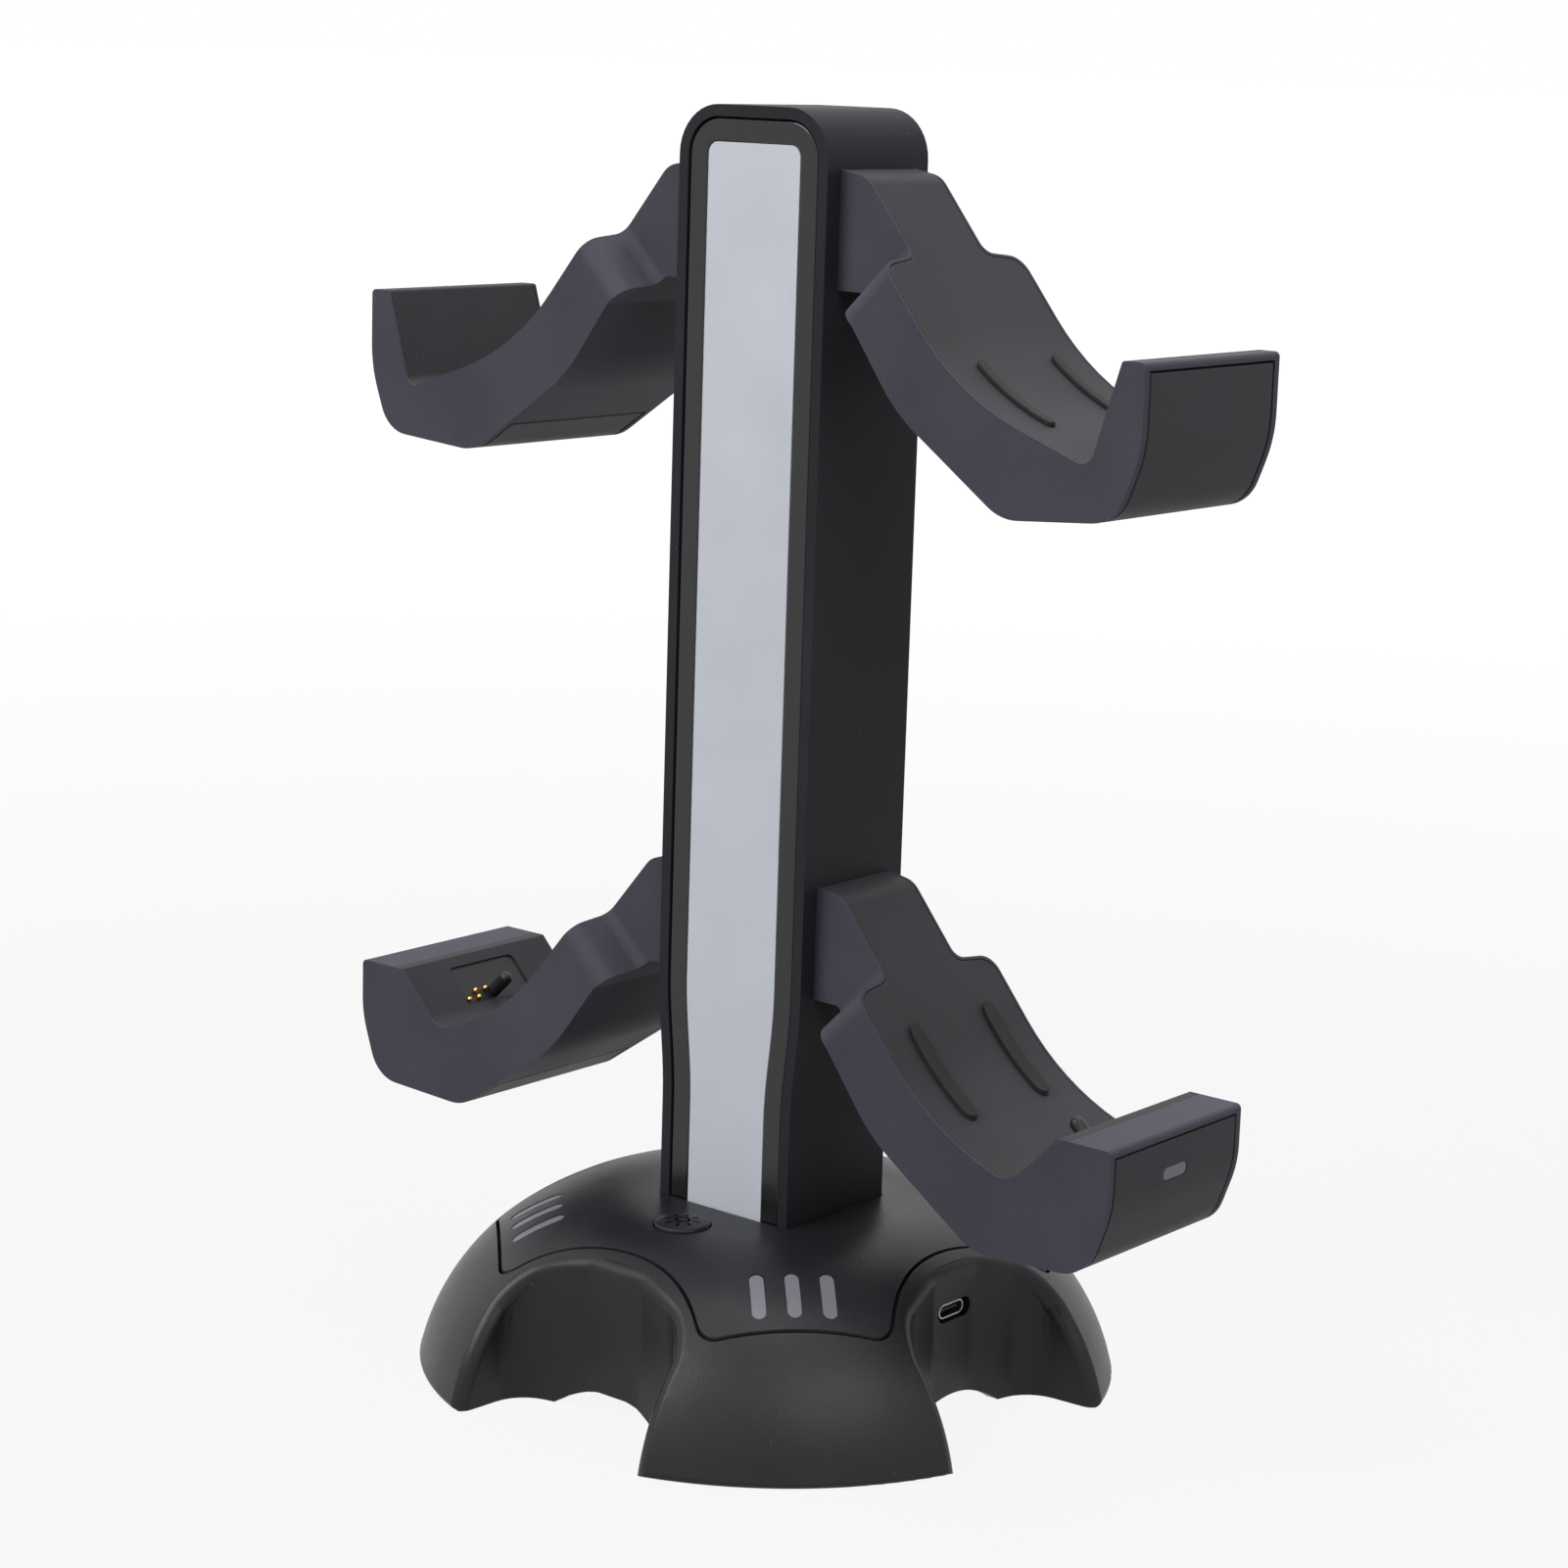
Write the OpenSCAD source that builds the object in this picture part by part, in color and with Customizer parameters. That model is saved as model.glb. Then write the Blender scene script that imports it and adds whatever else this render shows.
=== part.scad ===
// Charging stand with a lit column, four padded cradle arms and a four footed base.
// Millimetres. +Z is up, the light strip faces -Y, the arms reach out along +X and -X.
// The origin is on the floor, under the middle of the column.

/* [Column] */
// Height of the column's top above the floor
col_top = 290; // [280:1:320]
// Width of the column above the neck
col_w = 42; // [40:1:48]
// Width of the column below the neck
col_foot_w = 38; // [36:1:39]
// Depth of the column, front to back
col_d = 35.2; // [33:0.2:38]
// Radius of the column's two top corners
col_r = 11; // [8:0.5:13]
// Where the narrowing of the neck ends
neck_low = 64; // [60:1:68]
// Where the narrowing of the neck starts
neck_high = 94; // [88:1:94]
// Thickness of the column's back wall
col_back = 2.4; // [2:0.1:3]
// Width of the shell's rim that shows round the bezel
col_rim = 2.6; // [2:0.1:3.2]

/* [Light strip] */
// Gap between the rim and the bezel
bezel_gap = 0.35; // [0.2:0.05:0.5]
// Thickness of the bezel
bezel_t = 2.4; // [2:0.1:3]
// How far the bezel lies behind the column's front
bezel_recess = 0.3; // [0.1:0.1:0.8]
// Width of the bezel beside the diffuser
bezel_w = 5; // [4:0.1:6]
// Radius of the diffuser's top corners
diffuser_r = 2.6; // [1.5:0.1:4]
// How far the diffuser lies behind the bezel
diffuser_recess = 0.2; // [0:0.05:0.5]
// Pitch of the light chips along the strip
led_pitch = 16; // [12:1:24]

/* [Arms] */
// Height of the upper arms' roots, at their top
arm_up_z = 277.3; // [272:0.1:280]
// Distance between the upper and the lower arms
arm_drop = 158; // [156:0.5:159]
// Half of the span over the upper hooks
arm_up_reach = 109.5; // [107:0.1:114]
// Half of the span over the lower hooks
arm_low_reach = 110.8; // [109:0.1:114]
// Width of a cradle, front to back
arm_w = 50; // [46:0.5:54]
// Width of an arm where it meets the column
root_w = 26; // [22:0.5:28]
// Height of an arm where it meets the column
root_h = 25.8; // [24:0.1:26]
// Depth of the cradle's lowest point under the root's top
seat_drop = 56.1; // [54:0.1:58]
// Depth of the arm's underside below the root's top
arm_depth = 69.2; // [67:0.1:71]
// Thickness of the seat panels
seat_t = 2; // [1.6:0.1:2.4]
// Width of the lip that frames a seat panel
seat_lip = 0.6; // [0.4:0.1:1]
// Wall of the arm housings
arm_wall = 2.2; // [1.8:0.1:2.6]
// Height of the upper hook's tip over the cradle's lowest point
hook_up_h = 22.4; // [18:0.1:26]
// Thickness of the upper hook at its tip
hook_up_t = 5.6; // [5.2:0.1:8]
// Height of the lower hook's tip over the cradle's lowest point
hook_low_h = 12.8; // [12.4:0.1:14]
// Slope of the lower hook's inner face
hook_low_angle = 46; // [45:0.5:50]

/* [Hook covers] */
// Thickness of the hook covers
cover_t = 2; // [1.6:0.1:2.2]
// Width of the groove round a hook cover
cover_groove = 0.5; // [0.3:0.1:0.8]
// Width of the housing's rim in front of and behind a hook cover
cover_rim = 2.2; // [1.6:0.1:4]
// Distance between the hook's tip and its cover
cover_drop = 2.2; // [1.5:0.1:4]
// Where the cover ends on the arm's underside, as a share of the arm's length
cover_end = 0.505; // [0.47:0.005:0.55]

/* [Grips] */
// Distance of the grip strips from the arm's middle
strip_y = 13.4; // [11:0.1:15]
// Height of the grip strips over the seat
strip_h = 1.1; // [0.8:0.1:1.6]
// Width of the slim strips on the upper arms
strip_up_w = 2.6; // [2:0.1:4]
// Where the slim strips start, as a share of the arm's length
strip_up_start = 0.44; // [0.42:0.005:0.47]
// Where the slim strips end, as a share of the arm's length
strip_up_end = 0.665; // [0.62:0.005:0.68]
// Width of the pads on the lower arms
pad_w = 4.2; // [3:0.1:5]
// Where the pads start, as a share of the arm's length
pad_start = 0.317; // [0.31:0.005:0.35]
// Where the pads end, as a share of the arm's length
pad_end = 0.518; // [0.48:0.005:0.53]

/* [Contacts] */
// Width of the contact plate, front to back
plate_w = 22.6; // [22:0.2:24]
// Length of the contact plate along the hook's face
plate_l = 10.4; // [10:0.1:10.8]
// Thickness of the contact plate
plate_t = 1.5; // [1.2:0.1:1.6]
// How far the contact plate lies below the hook's face
plate_recess = 0.5; // [0.3:0.1:0.7]
// Radius of a contact pin's tip
pin_r = 0.65; // [0.5:0.01:0.66]
// How far a contact pin stands out of its plate
pin_out = 1.2; // [1:0.1:1.5]
// Travel of a contact pin
pin_travel = 1; // [0.6:0.1:1]
// Distance between the contact pins
pin_pitch = 3.4; // [3.2:0.1:3.6]
// Radius of the locating peg
peg_r = 1.65; // [1.2:0.05:1.8]
// Height of the locating peg over the hook's face
peg_h = 7; // [4:0.1:7.2]

/* [Base] */
// Radius of the base at the floor
base_r = 81.5; // [80:0.5:84]
// Height of the base's flat top
base_top = 40.3; // [39.5:0.1:41]
// Radius of the dome's curved side, seen in section
dome_r = 50; // [46:0.5:52]
// Wall of the base shell
base_wall = 2.8; // [2.5:0.1:3]
// Gap between the floor and the shell's edge
base_lift = 0.3; // [0.2:0.1:0.8]
// Distance of each scoop's back from the middle
scoop_back = 54.2; // [53:0.1:56]
// Half of a scoop's width at its back corners
scoop_half = 24.6; // [23:0.1:25]
// Radius of a scoop's back corners
scoop_r = 9; // [7:0.5:10]
// Height of the arch under a scoop's wall
arch_h = 5.4; // [4:0.1:6]
// Half of the width of that arch at the floor
arch_half = 16; // [13:0.5:17]

/* [Top cover] */
// Thickness of the top cover
lid_t = 1.6; // [1.4:0.1:1.8]
// Width of the groove round the top cover
lid_groove = 0.8; // [0.5:0.1:1.2]
// Distance of the cover's straight edges from the middle
lid_reach = 63.6; // [62:0.1:65]
// Distance of the cover's hollow edges from the middle
lid_waist = 49.3; // [48:0.1:49.5]
// Gap round the column in the top cover
col_fit = 0.4; // [0.3:0.05:0.6]
// Width of a light window
window_w = 3.4; // [2.8:0.1:4]
// Where the light windows start, from the middle
window_in = 48.4; // [47:0.1:50]
// Where the light windows end, from the middle
window_out = 60.4; // [58:0.1:60.4]
// Pitch of the light windows
window_pitch = 7.8; // [6:0.1:8.5]

/* [Button] */
// Radius of the light button
button_r = 6.4; // [5:0.1:7]
// Distance of the button from the middle
button_y = 31.5; // [29:0.1:34]
// How far the button stands over the base
button_out = 1.1; // [0.8:0.1:2]
// Travel of the button
button_travel = 0.8; // [0.4:0.1:1]
// Gap round the button
button_gap = 0.3; // [0.2:0.05:0.4]

/* [Inside] */
// Height of the sockets' middle over the floor
port_z = 25.4; // [24:0.1:27]
// Thickness of the bottom plate
plate_floor_t = 2; // [1.6:0.1:2.4]
// Height of the bottom plate's underside over the floor
plate_floor_z = 3.4; // [3:0.1:3.8]
// Thickness of the circuit boards
board_t = 1.6; // [1.2:0.1:1.8]
// Height of the steel weight
weight_h = 8; // [4:0.5:12]
// Radius of the rubber feet
foot_r = 5.2; // [4:0.1:5.2]

/* [Hidden] */

// Colours of the finishes
arm_colour = "#45464c";
seat_colour = "#414145";
shell_colour = "#333336";
black_colour = "#1c1c1e";
lens_colour = "#bcc3cd";
window_colour = "#9a9ca3";
rubber_colour = "#232325";
gold_colour = "#d8ab4e";
steel_colour = "#a8abb0";
board_colour = "#1f5a36";

// Small clearances
fit = 0.1;
loose = 0.2;
seat_gap = 0.1;
cut = 1;
far = 200;
smooth = 48;

// Column, worked out
chamber_step = 1.2;
board_step = 1.5;
front_y = -col_d / 2;
back_y = col_d / 2;
bezel_front = front_y + bezel_recess;
bezel_back = bezel_front + bezel_t;
board_seat_y = bezel_back + 8;
chip = 4;
chip_t = 1.2;
col_foot_z = plate_floor_z + plate_floor_t;
col_floor_t = 4;

// Arms, worked out: corners in the arm's own plane, as x, height below the root's top, radius
arm_low_z = arm_up_z - arm_drop;
root_x = col_w / 2;
seat_slope = 0.36;
seat_bend = 0.4734;
seat_bend_z = -43.9;
seat_bend_r = 60;
belly = 0.617;
under_bend = 0.2973;
foot_up_in = 12.5;
foot_up_r = 3;
foot_low_in = 25.8;
foot_low_r = 6.5;
root_wall = 7;
flare_angle = 45;
flare_root = 0.2;
flare_body = 8.2;

// Screws
screw_r = 1.25;
pilot_r = screw_r + 0.05;
screw_hole_r = 1.7;
screw_head_r = 2.6;
screw_head_t = 1.6;
arm_screw_y = 5;
arm_screw_z = [-6.5, -19.5];
arm_screw_l = 11;
cable_r = 2.6;

// Contacts, worked out in the frame of the hook's face
face_in = 7;
plate_low = -5.7;
row_low = -4.4;
row_high = -2.5;
pin_front = -plate_w / 2 + 1.3;
peg_x = -3.65;
peg_y = -0.8;
neck_r = pin_r + 0.05;
barrel_in = 0.8;
barrel_out = 0.93;
barrel_top = -plate_recess - plate_t;
barrel_roof = 0.5;
barrel_l = 5;
plunger_r = barrel_in - 0.05;
plunger_l = 2.6;
pin_spots = [
    [row_low, pin_front], [row_high, pin_front + pin_pitch],
    [row_low, pin_front + pin_pitch], [row_high, pin_front + 2 * pin_pitch]
];

// Base, worked out
dome_x = base_r - sqrt(dome_r * dome_r - (dome_r - base_top) * (dome_r - base_top));
dome_z = base_top - dome_r;
edge_r = 1.2;
ledge_w = 3;
board_top = port_z - 1.63;
board_r = 49;
port_w = 8.94;
port_h = 3.26;
port_l = 7.3;
port_wall = 0.3;
port_open_w = 11.8;
port_open_h = 4.5;
post_d = 40;
shell_screw_d = base_r - 20;
foot_d = base_r - 11.2;
foot_recess = 0.6;
weight_in = 27;
weight_out = 36.5;
column_screw_x = 9;
column_screw_y = 5;
switch_w = 6;
switch_h = 3.4;
stem_r = 2.4;
flange_r = button_r + 1.2;
flange_t = 1;
flange_drop = 0.9;

// Rounds the corners of a closed outline. Each corner is x, y and its radius.
function unit(v) = v / norm(v);
function turn(a, b) = a[0] * b[1] - a[1] * b[0];
function corner_arc(p, a, b, r, n) =
    let (u = unit(a - p), w = unit(b - p), half = acos(u * w) / 2)
    let (t = r / tan(half), c = p + unit(u + w) * r / sin(half))
    let (s = p + u * t - c, e = p + w * t - c, sweep = 180 - 2 * half)
    let (side = turn(s, e) > 0 ? 1 : -1)
    [for (i = [0:n]) let (k = side * sweep * i / n)
        c + [s[0] * cos(k) - s[1] * sin(k), s[0] * sin(k) + s[1] * cos(k)]];
function xy(p) = [p[0], p[1]];
function rounded(c, n = 8) =
    let (m = len(c))
    [for (i = [0:m - 1])
        let (p = xy(c[i]), a = xy(c[(i + m - 1) % m]), b = xy(c[(i + 1) % m]))
        for (q = c[i][2] > 0.01 ? corner_arc(p, a, b, c[i][2], n) : [p]) q];

// The same outline with true arcs in its hollow corners
function tangent_points(p, a, b, r) =
    let (u = unit(a - p), w = unit(b - p), t = r / tan(acos(u * w) / 2))
    [p + u * t, p + w * t];
function arc_middle(p, a, b, r) =
    let (u = unit(a - p), w = unit(b - p))
    p + unit(u + w) * r / sin(acos(u * w) / 2);
function hollow(c, i) =
    let (m = len(c), p = xy(c[i]))
    c[i][2] > 0.01 && turn(p - xy(c[(i + m - 1) % m]), xy(c[(i + 1) % m]) - p) > 0;
module round_plan(c, n = 6) {
    m = len(c);
    difference() {
        polygon([for (i = [0:m - 1])
            let (p = xy(c[i]), a = xy(c[(i + m - 1) % m]), b = xy(c[(i + 1) % m]), r = c[i][2])
            for (q = hollow(c, i) ? tangent_points(p, a, b, r)
                : r > 0.01 ? corner_arc(p, a, b, r, n) : [p]) q]);
        for (i = [0:m - 1])
            if (hollow(c, i))
                translate(arc_middle(xy(c[i]), xy(c[(i + m - 1) % m]), xy(c[(i + 1) % m]), c[i][2]))
                    circle(r = c[i][2], $fn = 96);
    }
}

// Moves each edge of a clockwise outline inwards: edge i runs from corner i to corner i + 1.
function right_of(a, b) = let (d = unit(b - a)) [d[1], -d[0]];
function shifted(c, d) =
    let (m = len(c))
    [for (i = [0:m - 1])
        let (p = xy(c[i]), a = xy(c[(i + m - 1) % m]), b = xy(c[(i + 1) % m]))
        let (n1 = right_of(a, p), n2 = right_of(p, b), d1 = d[(i + m - 1) % m], d2 = d[i])
        let (k = n1 * n2, q = (1 - k * k))
        let (s = (d1 - d2 * k) / q, t = (d2 - d1 * k) / q)
        let (bend = turn(p - a, b - p) < 0 ? -1 : 1)
        [p[0] + n1[0] * s + n2[0] * t, p[1] + n1[1] * s + n2[1] * t,
            c[i][2] > 0.01 ? max(0, c[i][2] + bend * (d1 + d2) / 2) : 0]];
function same(c, d) = [for (i = [0:len(c) - 1]) d];

// Extrudes an outline drawn in x and z along Y, from y0 to y1
module along_y(y0, y1) {
    translate([0, y1, 0])
        rotate([90, 0, 0])
            linear_extrude(y1 - y0)
                children();
}

// Column outline, drawn inwards by an inset, down to a given height
neck_steps = 10;
function neck_half(t) =
    (col_foot_w + (col_w - col_foot_w) * (1 - cos(180 * t)) / 2) / 2;
function side_points(inset, low) = concat(
    [[neck_half(0) - inset, low]],
    [for (i = [0:neck_steps])
        [neck_half(i / neck_steps) - inset, neck_low + (neck_high - neck_low) * i / neck_steps]]
);
function top_arc(inset, r, s) = [for (i = [0:10])
    let (a = 90 * i / 10)
    s * [col_w / 2 - inset - r + r * cos(a), 0] + [0, col_top - inset - r + r * sin(a)]];
function reversed(l) = [for (i = [len(l) - 1:-1:0]) l[i]];
function column_points(inset, low, r) = concat(
    side_points(inset, low), top_arc(inset, r, 1), reversed(top_arc(inset, r, -1)),
    reversed([for (p = side_points(inset, low)) [-p[0], p[1]]])
);
module column_outline(inset, low) {
    polygon(column_points(inset, low, max(1, col_r - inset)));
}
window_inset = col_rim + bezel_gap + bezel_w;
module diffuser_outline(inset, low) {
    polygon(column_points(window_inset + inset, low, diffuser_r));
}

module column_shell() {
    chamber = col_rim + chamber_step;
    rear = chamber + board_step;
    color(shell_colour)
    difference() {
        along_y(front_y, back_y) column_outline(0, col_foot_z);
        along_y(front_y - cut, bezel_back) column_outline(col_rim, col_foot_z + col_floor_t);
        along_y(bezel_back - fit, board_seat_y) column_outline(chamber, col_foot_z + col_floor_t);
        along_y(board_seat_y - fit, back_y - col_back) column_outline(rear, col_foot_z + col_floor_t);
        for (side = [-1, 1], top = [arm_up_z, arm_low_z]) {
            for (z = arm_screw_z)
                translate([0, arm_screw_y, top + z])
                    rotate([0, side * 90, 0])
                        cylinder(r = screw_hole_r, h = root_x + cut, $fn = smooth);
            translate([0, arm_screw_y, top - root_h / 2])
                rotate([0, side * 90, 0])
                    cylinder(r = cable_r, h = root_x + cut, $fn = smooth);
        }
        for (side = [-1, 1])
            translate([side * column_screw_x, column_screw_y, col_foot_z - cut])
                cylinder(r = pilot_r, h = col_floor_t + 2 * cut, $fn = smooth);
        translate([0, column_screw_y, col_foot_z - cut])
            cylinder(r = cable_r, h = col_floor_t + 2 * cut, $fn = smooth);
    }
}

module light_bezel() {
    low = base_top - 6;
    color(black_colour)
    difference() {
        along_y(bezel_front, bezel_back) column_outline(col_rim + bezel_gap, low);
        along_y(bezel_front - cut, bezel_back + cut) diffuser_outline(0, low - cut);
    }
}

module light_diffuser() {
    low = base_top - 6;
    flange = 1.4;
    flange_back = 1;
    color(lens_colour)
    union() {
        along_y(bezel_front + diffuser_recess, bezel_back) diffuser_outline(fit, low);
        along_y(bezel_back, bezel_back + flange_back) diffuser_outline(-flange, low);
    }
}

module light_board() {
    color(board_colour)
    along_y(board_seat_y - board_t, board_seat_y)
        column_outline(col_rim + chamber_step + loose, base_top + 4);
}

module light_chips() {
    first = base_top + 14;
    last = col_top - 16;
    color(lens_colour)
    for (z = [first:led_pitch:last])
        translate([-chip / 2, board_seat_y - board_t - chip_t, z - chip / 2])
            cube([chip, chip_t, chip]);
}

// Corners of an arm, clockwise from the root's top. Hook corners differ between the arms.
function reach_of(upper) = upper ? arm_up_reach : arm_low_reach;
function along(upper, share) = root_x + share * (reach_of(upper) - root_x);
hook_foot_up = [arm_up_reach - foot_up_in, -seat_drop, foot_up_r];
hook_up = [
    [arm_up_reach - hook_up_t, hook_foot_up[1] + hook_up_h, 0.8],
    [arm_up_reach, hook_foot_up[1] + hook_up_h, 1.2],
    [arm_up_reach, hook_foot_up[1] + 4.3, 30],
    [arm_up_reach - 5.6, -arm_depth + 2.6, 9]
];
low_foot_x = arm_low_reach - foot_low_in;
hook_foot_low = [low_foot_x, seat_bend_z - seat_slope * (low_foot_x - along(false, seat_bend)), foot_low_r];
hook_low_top = hook_foot_low[1] + hook_low_h;
hook_low = [
    [hook_foot_low[0] + hook_low_h / tan(hook_low_angle), hook_low_top, 0.8],
    [arm_low_reach, hook_low_top, 1.2],
    [arm_low_reach, hook_foot_low[1] - 0.6, 26],
    [arm_low_reach - 5.4, -arm_depth + 1.6, 9]
];
shoulder = [root_x + 7.3, -1.3, 6];
// The seat's bend, its radius held to the room between the shoulder and the hook's foot
function corner_length(p, a, b, r) = r / tan(acos(unit(a - p) * unit(b - p)) / 2);
function bend_corner(upper) =
    let (p = [along(upper, seat_bend), seat_bend_z], foot = upper ? hook_foot_up : hook_foot_low)
    let (tip = upper ? hook_up[0] : hook_low[0])
    let (room = norm(xy(foot) - p) - corner_length(xy(foot), p, xy(tip), foot[2]))
    let (per_r = corner_length(p, xy(shoulder), xy(foot), 1))
    [p[0], p[1], min(seat_bend_r, 0.95 * room / per_r)];
function arm_corners(upper) = concat(
    [[root_x, 0, 0], shoulder, bend_corner(upper)],
    [upper ? hook_foot_up : hook_foot_low], upper ? hook_up : hook_low,
    [[along(upper, belly), -arm_depth + 0.4, 12], [along(upper, under_bend), -49.2, 40],
        [root_x + 13.8, -32, 4], [root_x + 7, -root_h, 2], [root_x, -root_h, 0]]
);
function seat_at(c, x) = c[2][1] + (c[3][1] - c[2][1]) * (x - c[2][0]) / (c[3][0] - c[2][0]);
function arm_z(upper) = upper ? arm_up_z : arm_low_z;

module arm_outline(upper, inset = 0) {
    c = arm_corners(upper);
    polygon(rounded(inset == 0 ? c : shifted(c, same(c, inset))));
}

// Everything below the seat's surface, moved down by a depth
module below_seat(upper, depth) {
    c = arm_corners(upper);
    tip = c[4];
    foot = c[3];
    over = unit(xy(tip) - xy(foot)) * far;
    chain = [
        [root_x - far, 0, 0], shoulder, c[2], foot, [foot[0] + over[0], foot[1] + over[1], 0],
        [far * 2, -far, 0], [root_x - far, -far, 0]
    ];
    d = [depth, depth, depth, depth, 0, 0, 0];
    polygon(rounded(shifted(chain, d)));
}

// Everything inside the outer skin of the hook and the underside, moved in by a depth
module within_skin(upper, depth) {
    c = arm_corners(upper);
    chain = [
        [root_x - far, far, 0], [c[5][0], far, 0], c[6], c[7], c[8], c[9],
        [c[9][0] + unit(xy(c[10]) - xy(c[9]))[0] * far, c[9][1] + unit(xy(c[10]) - xy(c[9]))[1] * far, 0]
    ];
    d = [0, depth, depth, depth, depth, depth, 0];
    polygon(rounded(shifted(chain, d)));
}

// Plan of an arm: narrow at the root, wide from the flare on
module flare(inset) {
    half_root = root_w / 2 - inset;
    half_arm = arm_w / 2 - inset;
    start = [root_x + 6.7, -root_h];
    c = [
        [-far, half_root, 0], [flare_root + 3 + inset, half_root, 3], [flare_root + 4.6 + inset, half_arm, 4.5],
        [far, half_arm, 0], [far, -half_arm, 0],
        [flare_root + 4.6 + inset, -half_arm, 4.5], [flare_root + 3 + inset, -half_root, 3], [-far, -half_root, 0]
    ];
    translate([start[0], 0, start[1]])
        rotate([0, flare_angle, 0])
            translate([0, 0, -far])
                linear_extrude(2 * far)
                    polygon(rounded(c, 6));
}

// The hook cover's place: a skin on the outside, short of the tip and of the inner underside
module cover_space(upper, depth, grow) {
    tip = arm_corners(upper)[5];
    half = arm_w / 2 - cover_rim + grow;
    intersection() {
        along_y(-half, half)
            difference() {
                arm_outline(upper);
                within_skin(upper, depth);
            }
        translate([along(upper, cover_end) - grow, -far, -far])
            cube([far, 2 * far, far + tip[1] - cover_drop + grow]);
    }
}

module arm_cavity(upper) {
    c = arm_corners(upper);
    stop = c[3][0] + (upper ? -5 : 7);
    corners = [
        [root_x, 0, 0], c[1], c[2], [stop, seat_at(c, stop), 0], [stop, c[8][1], 0],
        c[8], c[9], c[10], c[11], [root_x, -root_h, 0]
    ];
    skin = cover_t + loose + arm_wall;
    d = [seat_t, seat_t, seat_t, skin, skin, skin, arm_wall, arm_wall, arm_wall, root_wall];
    intersection() {
        along_y(-far, far) polygon(rounded(shifted(corners, d)));
        flare(arm_wall);
    }
}

module arm_housing(upper) {
    color(arm_colour)
    difference() {
        intersection() {
            along_y(-arm_w / 2, arm_w / 2) arm_outline(upper);
            flare(0);
        }
        intersection() {
            along_y(-far, far)
                difference() {
                    arm_outline(upper, -cut);
                    below_seat(upper, seat_t);
                }
            flare(seat_lip);
        }
        cover_space(upper, cover_t + seat_gap, cover_groove);
        arm_cavity(upper);
        for (z = arm_screw_z)
            translate([root_x - cut, arm_screw_y, z])
                rotate([0, 90, 0])
                    cylinder(r = pilot_r, h = root_wall + 2 * cut, $fn = smooth);
        translate([root_x - cut, arm_screw_y, -root_h / 2])
            rotate([0, 90, 0])
                cylinder(r = cable_r, h = root_wall + 2 * cut, $fn = smooth);
        if (!upper) {
            on_hook_face() contact_well();
            status_bore(loose);
        }
    }
}

module arm_seat(upper) {
    color(seat_colour)
    difference() {
        intersection() {
            along_y(-far, far)
                difference() {
                    arm_outline(upper);
                    below_seat(upper, seat_t);
                }
            flare(seat_lip + seat_gap);
        }
        if (!upper)
            on_hook_face() plate_body(seat_gap, cut, seat_t + cut);
    }
}

module arm_cover(upper) {
    color(arm_colour)
    difference() {
        cover_space(upper, cover_t, 0);
        if (!upper)
            status_bore(0);
    }
}

// A strip that follows the seat, with rounded ends
module strip(upper, x0, x1, w) {
    for (side = [-1, 1])
        intersection() {
            along_y(side * strip_y - w / 2, side * strip_y + w / 2)
                difference() {
                    below_seat(upper, -strip_h);
                    below_seat(upper, 0);
                }
            translate([0, side * strip_y, -far])
                union() {
                    translate([x0 + w / 2, -w / 2, 0]) cube([x1 - x0 - w, w, far]);
                    for (x = [x0 + w / 2, x1 - w / 2])
                        translate([x, 0, 0]) cylinder(d = w, h = far, $fn = smooth);
                }
        }
}

// Frame on the lower hook's inner face: x up the face, z out of it
face_from_foot = face_in / cos(hook_low_angle);
module on_hook_face() {
    a = xy(hook_foot_low);
    b = xy(hook_low[0]);
    angle = atan2(b[1] - a[1], b[0] - a[0]);
    translate([a[0], 0, a[1]])
        rotate([0, -angle, 0])
            translate([face_from_foot, 0, 0])
                children();
}

// The contact plate's body, grown sideways, between two depths
module plate_body(grow, top, bottom) {
    half = plate_w / 2 + grow;
    r = 2;
    c = [
        [plate_low - grow, half, r], [plate_low + plate_l + grow, half, r],
        [plate_low + plate_l + grow, -half, r], [plate_low - grow, -half, r]
    ];
    translate([0, 0, -bottom])
        linear_extrude(bottom + top)
            polygon(rounded(c, 6));
}

block_wall = 0.3;
block_y0 = pin_front - barrel_out - block_wall;
block_y1 = pin_front + 2 * pin_pitch + barrel_out + block_wall;
block_x0 = row_low - barrel_out - block_wall;
block_x1 = row_high + barrel_out + block_wall;
module contact_block(grow) {
    depth = barrel_l + grow;
    translate([block_x0 - grow, block_y0 - grow, barrel_top - depth])
        cube([block_x1 - block_x0 + 2 * grow, block_y1 - block_y0 + 2 * grow, depth + fit]);
}

well_board_w = 16;
well_board_l = 8;
well_board_x = row_low - 3;
well_board_y = pin_front - 3.8;
module contact_well() {
    contact_block(seat_gap);
    translate([well_board_x, well_board_y, barrel_top - barrel_l - board_t - loose])
        cube([well_board_l + loose, well_board_w + loose, board_t + loose]);
    translate([well_board_x + well_board_l / 2, well_board_y + 1.4 + well_board_w / 2, barrel_top - barrel_l - board_t - 6])
        cylinder(r = cable_r, h = 6, $fn = smooth);
}

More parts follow.
